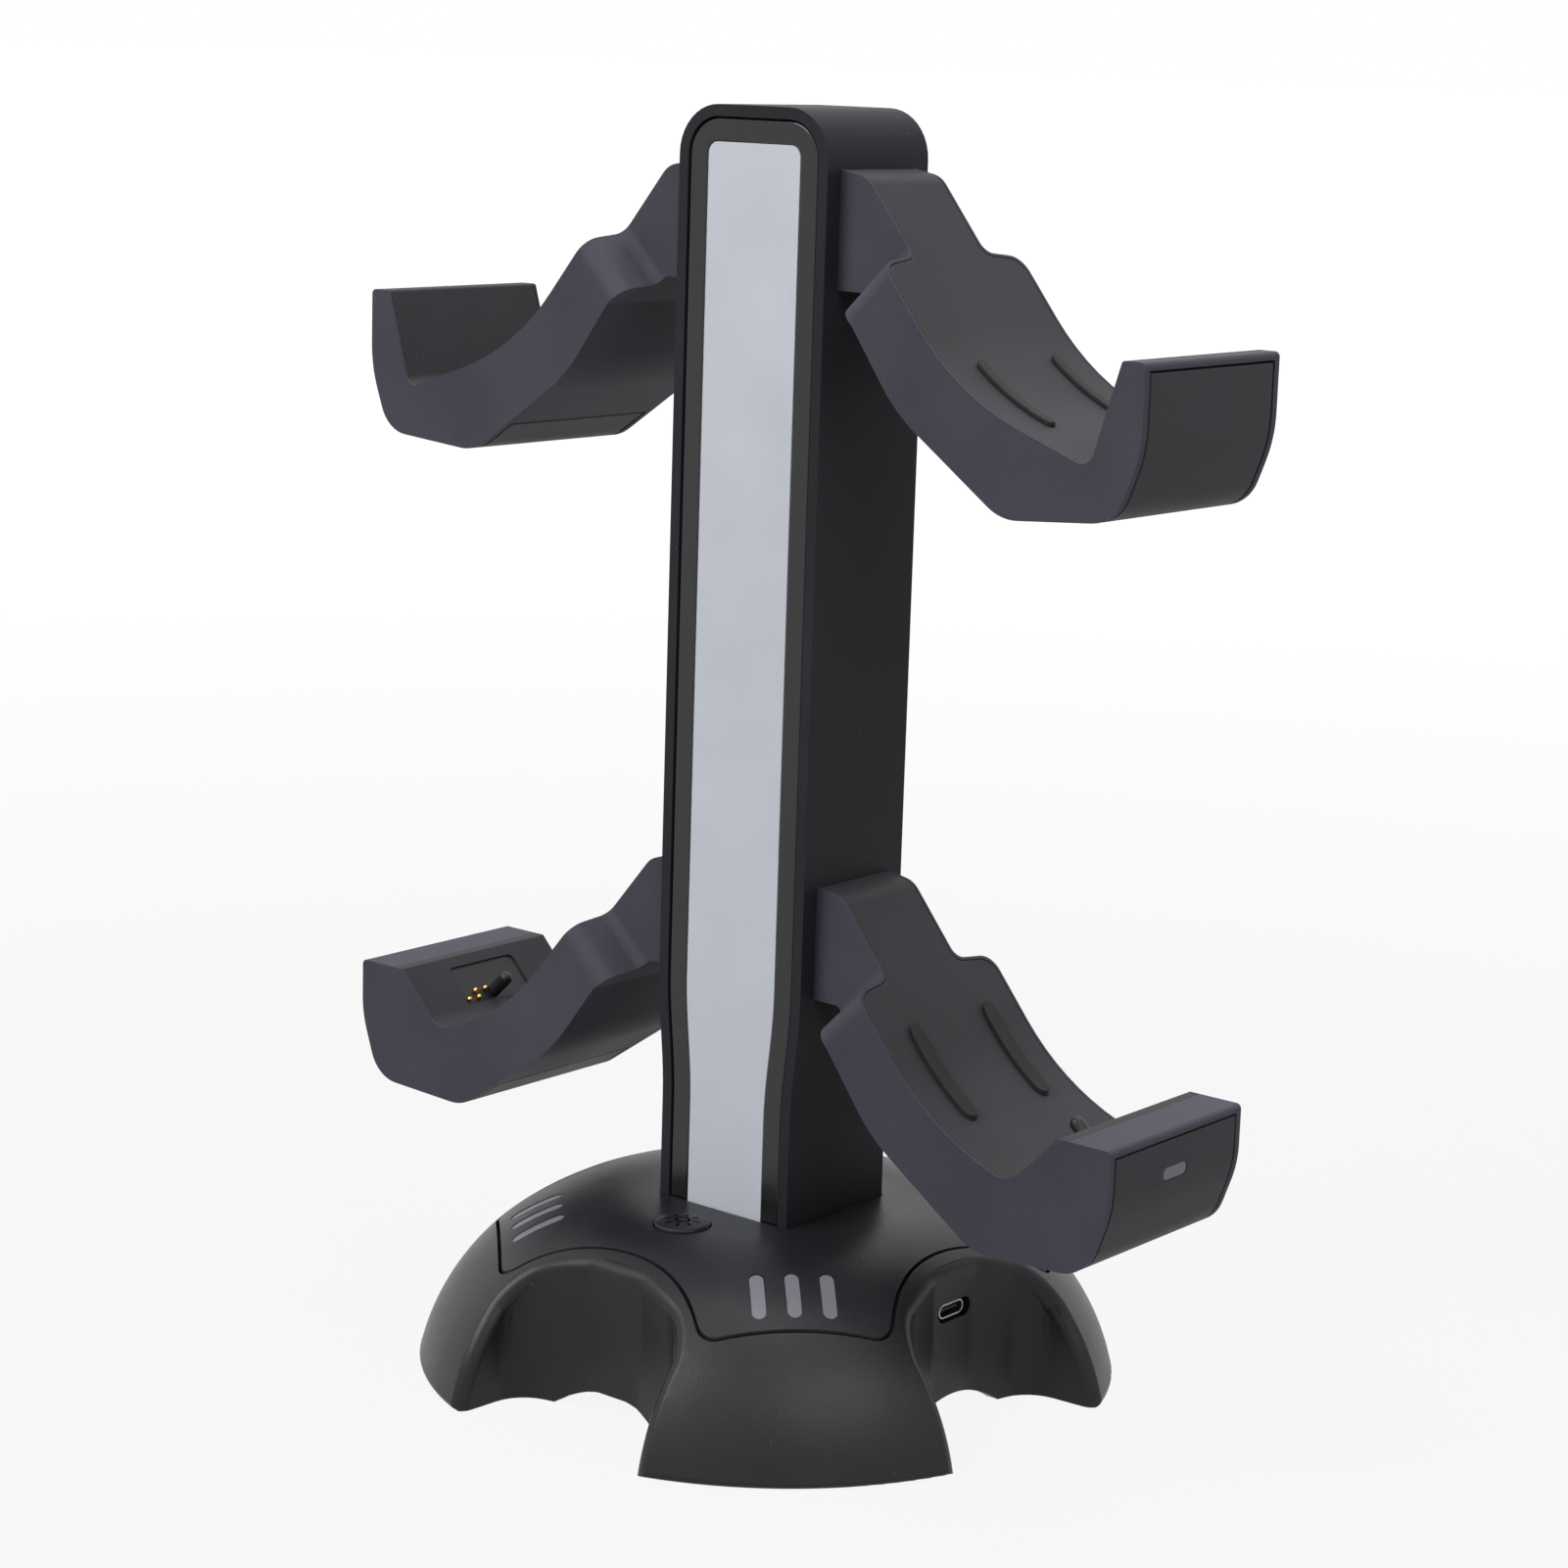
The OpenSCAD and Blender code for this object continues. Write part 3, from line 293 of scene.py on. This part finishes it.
@dataclass(frozen=True)
class Rubber:
    """Soft moulded rubber, dull, with a dusty bloom."""

    name: str
    colour: tuple[float, float, float]

    def build(self) -> bpy.types.Material:
        """Builds the material: fine pebble and a pale bloom."""
        bench = Bench(self.name)
        base = linear(self.colour)
        bloom = bench.noise(0.008, 4.0, 0.6)
        pebble = bench.noise(0.0005, 2.0)
        colour = bench.mixed(bloom.ramp(0.45, 0.8) * 0.35, base, tuple(v * 2.2 for v in base[:3]) + (1.0,))
        rough = bloom.ramp(0.2, 0.8, 0.62, 0.8)
        normal = bench.bumped(pebble, 0.6, 0.00004)
        return bench.finish(Base_Color=colour, Roughness=rough, Normal=normal, Specular_IOR_Level=0.3)


@dataclass(frozen=True)
class Metal:
    """Plated or bare metal with fine machining marks."""

    name: str
    colour: tuple[float, float, float]
    roughness: float = 0.25
    marks: float = 0.00012

    def build(self) -> bpy.types.Material:
        """Builds the material: marks along one way and light tarnish."""
        bench = Bench(self.name)
        base = linear(self.colour)
        lines = bench.noise(self.marks, 2.0, 0.5, bench.stretched((1.0, 1.0, 0.06)))
        tarnish = bench.noise(0.0015, 3.0)
        colour = bench.mixed(tarnish.ramp(0.4, 0.8) * 0.4, base, tuple(v * 0.7 for v in base[:3]) + (1.0,))
        rough = self.roughness + lines * 0.12 + tarnish.ramp(0.4, 0.8) * 0.1
        normal = bench.bumped(lines, 0.3, 0.000006)
        return bench.finish(Base_Color=colour, Roughness=rough, Normal=normal, Metallic=1.0)


@dataclass(frozen=True)
class CircuitBoard:
    """Glass fibre board under green solder mask, with traces showing through."""

    name: str
    colour: tuple[float, float, float] = (30, 92, 52)

    def build(self) -> bpy.types.Material:
        """Builds the material: raised traces, weave and a satin mask."""
        bench = Bench(self.name)
        base = linear(self.colour)
        weave = bench.noise(0.0006, 2.0, 0.5, bench.stretched((1.0, 0.3, 1.0)))
        brick = {"Vector": bench.place(), "Scale": 260.0, "Mortar Size": 0.03, "Mortar Smooth": 0.3}
        traces = 1 - bench.add("ShaderNodeTexBrick", {"offset": 0.37}, brick, "Fac")
        colour = bench.mixed(traces * 0.5, tuple(v * 0.6 for v in base[:3]) + (1.0,), base)
        rough = weave.ramp(0.3, 0.7, 0.28, 0.4)
        normal = bench.bumped(traces + weave * 0.2, 0.4, 0.00003)
        return bench.finish(Base_Color=colour, Roughness=rough, Normal=normal)


class Finish(Enum):
    """The stand's finishes."""

    ARM = Moulded("charcoal_arm", (69, 69, 79), 0.58, 0.14)
    SEAT = Moulded("charcoal_seat", (57, 56, 60), 0.58, 0.14)
    COVER = Moulded("charcoal_hook_cover", (56, 56, 61), 0.52, 0.14)
    COLUMN = Moulded("charcoal_column", (41, 41, 46), 0.5, 0.1, grain=0.0005, depth=0.00005)
    SHELL = Moulded("charcoal_shell", (30, 30, 34), 0.38, 0.28, grain=0.0005, depth=0.00005)
    BUTTON = Moulded("charcoal_button", (30, 30, 34), 0.4, 0.22)
    BEZEL = Moulded("black_bezel", (20, 20, 22), 0.22, 0.5, depth=0.000004, dust=0.2)
    PLATE = Moulded("black_contact_plate", (30, 30, 34), 0.42, dust=0.2)
    FLOOR_PLATE = Moulded("black_bottom_plate", (26, 26, 28), 0.6)
    MARK = Moulded("black_mark", (6, 6, 7), 0.9, 0.0, dust=0.0)
    TONGUE = Moulded("black_tongue", (22, 22, 24), 0.4, dust=0.0)
    DIFFUSER = Milky("milky_diffuser", (206, 210, 220))
    WINDOW = Milky("smoky_window", (118, 119, 126), 0.34, 0.3)
    CHIP = Milky("pale_chip", (215, 210, 190))
    PAD = Rubber("black_pad", (27, 27, 28))
    STRIP = Rubber("black_strip", (33, 33, 34))
    FOOT = Rubber("black_foot", (28, 28, 28))
    GOLD = Metal("gold_plating", (232, 186, 96), 0.18)
    NICKEL = Metal("nickel_plating", (186, 186, 190), 0.24)
    STEEL = Metal("plain_steel", (150, 150, 154), 0.38, 0.0003)
    BOARD = CircuitBoard("green_board")


class Wardrobe:
    """Builds each finish once and puts it on objects."""

    def __init__(self) -> None:
        """Starts with no material made."""
        self.made: dict[Finish, bpy.types.Material] = {}

    def material(self, finish: Finish) -> bpy.types.Material:
        """The finish's material, built at its first use."""
        if finish not in self.made:
            self.made[finish] = finish.value.build()
        return self.made[finish]

    def dress(self, thing: bpy.types.Object, finish: Finish) -> None:
        """Gives an object that one finish all over."""
        if not thing.material_slots:
            thing.data.materials.append(None)
        for holder in thing.material_slots:
            holder.material = self.material(finish)


WARDROBE = Wardrobe()


def new_piece(name: str, verts: np.ndarray, faces: np.ndarray, finish: Finish, body: str) -> bpy.types.Object:
    """Makes a new mesh piece that rides on a body.

    Args:
        name: The piece's name.
        verts: Points in metres, one row each.
        faces: Rows of three or four point numbers, facing outwards.
        finish: Its finish.
        body: The CAD body that it rides on.

    Returns:
        The new object.
    """
    mesh = bpy.data.meshes.new(name)
    mesh.from_pydata(verts.tolist(), [], faces.tolist())
    mesh.validate()
    mesh.polygons.foreach_set("use_smooth", np.ones(len(mesh.polygons), dtype=bool))
    mesh.set_sharp_from_angle(angle=math.radians(35))
    thing = bpy.data.objects.new(name, mesh)
    SCENE.collection.objects.link(thing)
    WARDROBE.dress(thing, finish)
    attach(thing, body)
    return thing


@dataclass
class SoftEdges:
    """Stands a copy with softened edges in a CAD node's place."""

    width: float = 0.35 * MM
    segments: int = 2
    angle: float = 34.0
    flat: float = 0.4

    def copy_of(self, node: str, finish: Finish, body: str = "stand") -> bpy.types.Object:
        """Copies a node, merges its triangles, and rounds its edges.

        Args:
            node: The CAD node's name.
            finish: The copy's finish.
            body: The body that it rides on.

        Returns:
            The copy.
        """
        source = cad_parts[node]
        mesh = source.data.copy()
        shape = bmesh.new()
        shape.from_mesh(mesh)
        bmesh.ops.remove_doubles(shape, verts=shape.verts, dist=0.000002)
        if self.flat > 0:
            bmesh.ops.dissolve_limit(
                shape, angle_limit=math.radians(self.flat), verts=shape.verts, edges=shape.edges, delimit={"NORMAL"}
            )
        shape.to_mesh(mesh)
        shape.free()
        if "custom_normal" in mesh.attributes:
            mesh.attributes.remove(mesh.attributes["custom_normal"])
        mesh.polygons.foreach_set("use_smooth", np.ones(len(mesh.polygons), dtype=bool))
        mesh.set_sharp_from_angle(angle=math.radians(self.angle))
        thing = bpy.data.objects.new(node + "_soft", mesh)
        SCENE.collection.objects.link(thing)
        bevel = thing.modifiers.new("soft_edges", "BEVEL")
        bevel.width = self.width
        bevel.segments = self.segments
        bevel.limit_method = "ANGLE"
        bevel.angle_limit = math.radians(self.angle)
        bevel.use_clamp_overlap = True
        bevel.harden_normals = False
        thing.modifiers.new("even_normals", "WEIGHTED_NORMAL").keep_sharp = True
        WARDROBE.dress(thing, finish)
        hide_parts(node)
        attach(thing, body)
        return thing


@dataclass
class ScoopRims:
    """Rounds the rims where the four scoops meet the dome, in millimetres."""

    radius: float = 3.2
    base_r: float = 81.5
    base_top: float = 40.3
    dome_r: float = 50.0
    back: float = 54.2
    half: float = 24.6
    corner_r: float = 9.0
    steps: int = 7

    def height(self, r: np.ndarray) -> np.ndarray:
        """The dome's height over a distance from the middle: a circle's arc beyond the flat top."""
        low = self.dome_r - self.base_top
        middle = self.base_r - math.sqrt(self.dome_r**2 - low**2)
        out = np.clip(r - middle, 0.0, self.dome_r * 0.9999)
        return np.sqrt(self.dome_r**2 - out**2) - low

    def plan(self) -> np.ndarray:
        """Points along one scoop's plan: its straight edges, with arcs in the two back corners.

        Returns:
            Rows of x and y, from one foot to the other.
        """
        mouth = np.array([self.half + 2.6, -self.base_r - 14.0])
        corner = np.array([self.half, -self.back - 4.2])
        bulge = np.array([0.3 * self.half, -self.back])
        before = (mouth - corner) / np.linalg.norm(mouth - corner)
        after = (bulge - corner) / np.linalg.norm(bulge - corner)
        half_angle = math.acos(float(before @ after)) / 2
        reach = self.corner_r / math.tan(half_angle)
        centre = corner + (before + after) / np.linalg.norm(before + after) * self.corner_r / math.sin(half_angle)
        start = corner + before * reach - centre
        sweep = -(math.pi - 2 * half_angle) * np.linspace(0.0, 1.0, 16)
        turned = start[0] * after[1] - start[1] * after[0]
        sweep = -sweep if turned > 0 else sweep
        arc = centre + np.stack(
            [start[0] * np.cos(sweep) - start[1] * np.sin(sweep), start[0] * np.sin(sweep) + start[1] * np.cos(sweep)], 1
        )
        side = corner + before * np.linspace(0.0, 1.0, 160)[::-1, None] ** 0.8 * (mouth[1] - corner[1]) / before[1]
        side = side[(np.hypot(side[:, 0], side[:, 1]) < self.base_r + 0.75) & (side[:, 1] < arc[0, 1] - 0.1)]
        run = np.linspace(arc[-1], bulge, 8)[1:]
        right = np.concatenate([side, arc, run])
        return np.concatenate([right, (right * [-1.0, 1.0])[::-1]])

    def cutter(self) -> bpy.types.Object:
        """Sweeps the waste of a rounded edge along the four rims.

        At each point the dome's and the wall's normals give the edge's run and the angle
        between the two surfaces. The section is the arc that touches both, closed outside.

        Returns:
            A closed mesh object, for one boolean cut.
        """
        plan = self.plan()
        run = np.gradient(plan, axis=0)
        wall = np.stack([run[:, 1], -run[:, 0], np.zeros(len(run))], 1)
        wall /= np.linalg.norm(wall, axis=1)[:, None]
        if wall[len(wall) // 2 - 8, 1] > 0:
            wall = -wall
        r = np.hypot(plan[:, 0], plan[:, 1])
        slope = (self.height(r + 0.01) - self.height(r - 0.01)) / 0.02
        dome = np.stack([-slope * plan[:, 0] / r, -slope * plan[:, 1] / r, np.ones(len(r))], 1)
        dome /= np.linalg.norm(dome, axis=1)[:, None]
        edge = np.column_stack([plan, self.height(r)])
        along = np.cross(dome, wall)
        along /= np.linalg.norm(along, axis=1)[:, None]
        into = np.cross(along, dome)
        into *= -np.sign(np.sum(into * wall, axis=1))[:, None]
        down = np.cross(along, wall)
        down *= -np.sign(np.sum(down * dome, axis=1))[:, None]
        angle = np.arccos(np.sum(into * down, axis=1))
        middle = into + down
        middle /= np.linalg.norm(middle, axis=1)[:, None]
        centre = edge + middle * (self.radius / np.sin(angle / 2))[:, None]
        share = np.linspace(0.0, 1.0, self.steps)[:, None, None]
        turn = (np.pi - angle)[None, :, None]
        arc = centre + self.radius * (
            dome * np.sin((1 - share) * turn) + wall * np.sin(share * turn)
        ) / np.sin(turn)
        out = np.stack([arc[-1] + wall, edge + 1.5 * wall + 1.5 * dome, arc[0] + dome])
        ring = np.concatenate([arc, out])
        count, length = ring.shape[0], ring.shape[1]
        index = np.arange(count * length).reshape(count, length)
        one = np.roll(index, -1, axis=0)
        quads = np.stack([index[:, :-1], index[:, 1:], one[:, 1:], one[:, :-1]], -1).reshape(-1, 4)
        verts, faces = [], []
        for quarter in range(4):
            spin = np.array(Matrix.Rotation(quarter * math.pi / 2, 3, "Z"))
            first = quarter * count * length
            verts.append(ring.reshape(-1, 3) @ spin.T * MM)
            faces += (quads + first).tolist()
            faces += [(index[:, 0] + first).tolist(), (index[::-1, -1] + first).tolist()]
        mesh = bpy.data.meshes.new("rim_cutter")
        mesh.from_pydata(np.concatenate(verts).tolist(), [], faces)
        shape = bmesh.new()
        shape.from_mesh(mesh)
        bmesh.ops.recalc_face_normals(shape, faces=shape.faces)
        shape.to_mesh(mesh)
        shape.free()
        return bpy.data.objects.new("rim_cutter", mesh)

    def round_off(self, thing: bpy.types.Object) -> None:
        """Cuts the waste off a piece's mesh for good.

        Args:
            thing: The base shell's copy.
        """
        cutter = self.cutter()
        SCENE.collection.objects.link(cutter)
        others = [(mod.name, mod.show_viewport) for mod in thing.modifiers]
        for mod in thing.modifiers:
            mod.show_viewport = False
        cut = thing.modifiers.new("rim_cut", "BOOLEAN")
        cut.object = cutter
        cut.operation = "DIFFERENCE"
        cut.solver = "EXACT"
        cut.use_self = True
        bpy.context.view_layer.update()
        done = bpy.data.meshes.new_from_object(thing.evaluated_get(bpy.context.evaluated_depsgraph_get()))
        thing.modifiers.remove(cut)
        thing.data = done
        for name, shown in others:
            thing.modifiers[name].show_viewport = shown
        shape = bmesh.new()
        shape.from_mesh(done)
        bmesh.ops.remove_doubles(shape, verts=shape.verts, dist=0.00001)
        bmesh.ops.dissolve_limit(
            shape, angle_limit=math.radians(0.3), verts=shape.verts, edges=shape.edges, delimit={"NORMAL"}
        )
        shape.to_mesh(done)
        shape.free()
        done.polygons.foreach_set("use_smooth", np.ones(len(done.polygons), dtype=bool))
        done.set_sharp_from_angle(angle=math.radians(34.0))
        bpy.data.objects.remove(cutter)


@dataclass
class Column:
    """The lit column: shell, bezel and diffuser."""

    edges: SoftEdges = field(default_factory=SoftEdges)

    def build(self) -> list[bpy.types.Object]:
        """Softens the mouldings and dresses what lies behind them."""
        pieces = [
            self.edges.copy_of("column_shell", Finish.COLUMN),
            self.edges.copy_of("light_bezel", Finish.BEZEL),
        ]
        for node, finish in (
            ("light_diffuser", Finish.DIFFUSER), ("light_board", Finish.BOARD), ("light_chips", Finish.CHIP),
            ("arm_screws", Finish.STEEL), ("column_screws", Finish.STEEL),
        ):
            WARDROBE.dress(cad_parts[node], finish)
        return pieces


@dataclass
class Arm:
    """One cradle arm with its seat, hook cover and rubber."""

    name: str
    lower: bool
    edges: SoftEdges = field(default_factory=SoftEdges)

    def build(self) -> list[bpy.types.Object]:
        """Softens the mouldings and dresses the rest of the arm."""
        pieces = [
            self.edges.copy_of(f"{self.name}_arm", Finish.ARM),
            self.edges.copy_of(f"{self.name}_seat", Finish.SEAT),
            self.edges.copy_of(f"{self.name}_cover", Finish.COVER),
        ]
        rubber = "pads" if self.lower else "strips"
        pieces.append(self.edges.copy_of(f"{self.name}_{rubber}", Finish.PAD if self.lower else Finish.STRIP))
        if self.lower:
            pieces.append(self.edges.copy_of(f"{self.name}_contact_plate", Finish.PLATE))
            for part, finish in (
                ("contact_barrels", Finish.GOLD), ("contact_board", Finish.BOARD), ("status_window", Finish.WINDOW),
                ("pin_1", Finish.GOLD), ("pin_2", Finish.GOLD), ("pin_3", Finish.GOLD), ("pin_4", Finish.GOLD),
            ):
                WARDROBE.dress(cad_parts[f"{self.name}_{part}"], finish)
        return pieces


@dataclass
class ButtonSun:
    """A plain sun on the button: one ring and eight rays, in millimetres."""

    middle: tuple[float, float] = (0.0, -31.5)
    top: float = 41.4
    crown: float = 0.5
    crown_r: float = 5.9
    ring: tuple[float, float] = (1.25, 1.8)
    rays: tuple[float, float] = (2.6, 4.2)
    ray_half: float = 0.28
    lift: float = 0.04

    def strip(self, u: np.ndarray, r: np.ndarray, shut: bool) -> tuple[np.ndarray, np.ndarray]:
        """Lays a grid of angle and radius on the button's crown.

        The crown falls with the square of the radius, and the grid lies a hair over it.

        Args:
            u: Angles in radians, one per column, or one row of them per radius.
            r: Radii in millimetres, one per row.
            shut: Whether the last column meets the first.

        Returns:
            Points and four-cornered faces.
        """
        angle = np.broadcast_to(u, (len(r), np.shape(u)[-1]))
        radius = np.broadcast_to(r[:, None], angle.shape)
        z = self.top - self.crown * (radius / self.crown_r) ** 2 + self.lift
        points = np.stack(
            [self.middle[0] + radius * np.cos(angle), self.middle[1] + radius * np.sin(angle), z], -1
        ).reshape(-1, 3) * MM
        index = np.arange(angle.size).reshape(angle.shape)
        after = np.roll(index, -1, axis=1)
        if not shut:
            index, after = index[:, :-1], after[:, :-1]
        faces = np.stack([index[:-1], index[1:], after[1:], after[:-1]], -1).reshape(-1, 4)
        return points, faces

    def build(self) -> bpy.types.Object:
        """Makes the ring and the rays as one thin piece that rides on the button."""
        points, faces = self.strip(np.linspace(0, 2 * np.pi, 48, endpoint=False), np.linspace(*self.ring, 3), True)
        parts, quads, count = [points], [faces], len(points)
        radii = np.linspace(*self.rays, 5)
        for ray in range(8):
            spread = np.array([[-1.0, 0.0, 1.0]]) * self.ray_half / radii[:, None]
            points, faces = self.strip(spread + ray * np.pi / 4 + np.pi / 8, radii, False)
            parts.append(points)
            quads.append(faces + count)
            count += len(points)
        sun = new_piece(
            "button_sun", np.concatenate(parts), np.concatenate(quads), Finish.MARK, "light_button"
        )
        thick = sun.modifiers.new("thin", "SOLIDIFY")
        thick.thickness = 0.06 * MM
        thick.offset = -1.0
        return sun


@dataclass
class Base:
    """The domed base with its cover, windows, button and sockets."""

    edges: SoftEdges = field(default_factory=SoftEdges)

    def build(self) -> list[bpy.types.Object]:
        """Softens the mouldings and dresses the rest of the base."""
        shell = SoftEdges(0.4 * MM, 2, flat=0.0).copy_of("base_shell", Finish.SHELL)
        ScoopRims().round_off(shell)
        pieces = [
            shell,
            self.edges.copy_of("base_cover", Finish.SHELL),
            self.edges.copy_of("bottom_plate", Finish.FLOOR_PLATE),
            self.edges.copy_of("rubber_feet", Finish.FOOT),
            self.edges.copy_of("light_button", Finish.BUTTON, "light_button"),
            ButtonSun().build(),
        ]
        for node, finish in (
            ("base_windows", Finish.WINDOW), ("button_switch", Finish.NICKEL), ("main_board", Finish.BOARD),
            ("port_shells", Finish.NICKEL), ("port_tongues", Finish.TONGUE), ("steel_weight", Finish.STEEL),
            ("base_screws", Finish.STEEL), ("board_screws", Finish.STEEL),
        ):
            WARDROBE.dress(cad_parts[node], finish)
        return pieces


@dataclass
class Studio:
    """Camera, floor, lamps and the white surroundings."""

    eye: tuple[float, float, float] = (0.51434, -0.63119, 0.30480)
    right: tuple[float, float, float] = (0.77077, 0.63635, 0.03114)
    up: tuple[float, float, float] = (-0.15144, 0.13552, 0.97913)
    ahead: tuple[float, float, float] = (-0.61885, 0.75940, -0.20083)
    lens: float = 83.68
    floor_size: float = 60.0

    def camera(self) -> bpy.types.Object:
        """Sets the camera where the photograph was taken from."""
        data = bpy.data.cameras.new("camera")
        data.sensor_width = 36.0
        data.sensor_fit = "HORIZONTAL"
        data.lens = self.lens
        data.clip_end = 50.0
        camera = bpy.data.objects.new("camera", data)
        turn = Matrix([self.right, self.up, [-v for v in self.ahead]]).transposed().to_4x4()
        camera.matrix_world = Matrix.Translation(self.eye) @ turn
        SCENE.collection.objects.link(camera)
        SCENE.camera = camera
        return camera

    def floor(self) -> None:
        """Lays a pale floor that shows white to the camera and keeps a soft shadow."""
        half = self.floor_size / 2
        mesh = bpy.data.meshes.new("floor")
        mesh.from_pydata([(-half, -half, 0), (half, -half, 0), (half, half, 0), (-half, half, 0)], [], [(0, 1, 2, 3)])
        floor = bpy.data.objects.new("floor", mesh)
        SCENE.collection.objects.link(floor)
        bench = Bench("pale_floor")
        bench.finish(Base_Color=(0.18, 0.18, 0.18, 1.0), Roughness=0.9, Specular_IOR_Level=0.0)
        glow = bench.add("ShaderNodeEmission", {}, {"Color": (1.0, 1.0, 1.0, 1.0), "Strength": 1.05})
        away = bench.add("ShaderNodeVectorMath", {"operation": "LENGTH"}, [bench.place()], "Value")
        seen = self.seen(bench) * away.ramp(0.3, 1.6, 0.86, 1.0)
        shader = Wire(bench, bench.shader.outputs[0])
        mixed = bench.add("ShaderNodeMixShader", {}, [seen, shader, glow])
        bench.plug(bench.nodes["Material Output"].inputs["Surface"], mixed)
        mesh.materials.append(bench.material)
        floor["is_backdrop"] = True

    @staticmethod
    def seen(bench: Bench) -> Wire:
        """One for rays from the camera or off gloss, else nought."""
        camera = bench.add("ShaderNodeLightPath", {}, {}, "Is Camera Ray")
        gloss = bench.add("ShaderNodeLightPath", {}, {}, "Is Glossy Ray")
        through = bench.add("ShaderNodeLightPath", {}, {}, "Is Transmission Ray")
        return (camera + gloss + through).clamped()

    def world(self) -> None:
        """Surrounds the scene with soft light that shows as white."""
        world = bpy.data.worlds.new("surroundings")
        world.use_nodes = True
        SCENE.world = world
        bench = Bench.__new__(Bench)
        bench.nodes = world.node_tree.nodes
        bench.links = world.node_tree.links
        back = bench.nodes["Background"]
        back.inputs["Color"].default_value = (1.0, 1.0, 1.0, 1.0)
        strength = self.seen(bench).ramp(0.0, 1.0, 0.34, 1.0)
        bench.plug(back.inputs["Strength"], strength)

    def lamp(self, name: str, at: tuple[float, float, float], size: float, watts: float) -> None:
        """Hangs a square soft lamp that points at the stand's middle."""
        data = bpy.data.lights.new(name, "AREA")
        data.size = size
        data.energy = watts
        lamp = bpy.data.objects.new(name, data)
        lamp.location = at
        aim = Vector((0.0, 0.0, 0.14)) - Vector(at)
        lamp.rotation_euler = aim.to_track_quat("-Z", "Y").to_euler()
        SCENE.collection.objects.link(lamp)

    def build(self) -> None:
        """Sets up the whole studio."""
        self.camera()
        self.floor()
        self.world()
        self.lamp("key_lamp", (-0.5, -1.2, 1.3), 0.9, 21.0)
        self.lamp("side_lamp", (1.2, -0.5, 1.3), 0.9, 7.5)
        self.lamp("top_lamp", (0.1, 0.3, 1.7), 1.0, 13.0)
        SCENE.view_settings.view_transform = "Standard"


def main() -> None:
    """Builds the studio and then the stand, piece by piece."""
    logging.basicConfig(level=logging.INFO, format="%(name)s: %(message)s")
    Studio().build()
    assemblies = [Column(), Base()]
    assemblies += [Arm(f"{tier}_{side}", tier == "lower") for tier in ("upper", "lower") for side in ("right", "left")]
    for assembly in assemblies:
        for piece in assembly.build():
            LOG.info("%s: %d faces", piece.name, len(piece.data.polygons))
    json.dumps({"cad": plain_box(CAD_BOX), "visual": plain_box(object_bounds())})


if __name__ == "__main__":
    main()
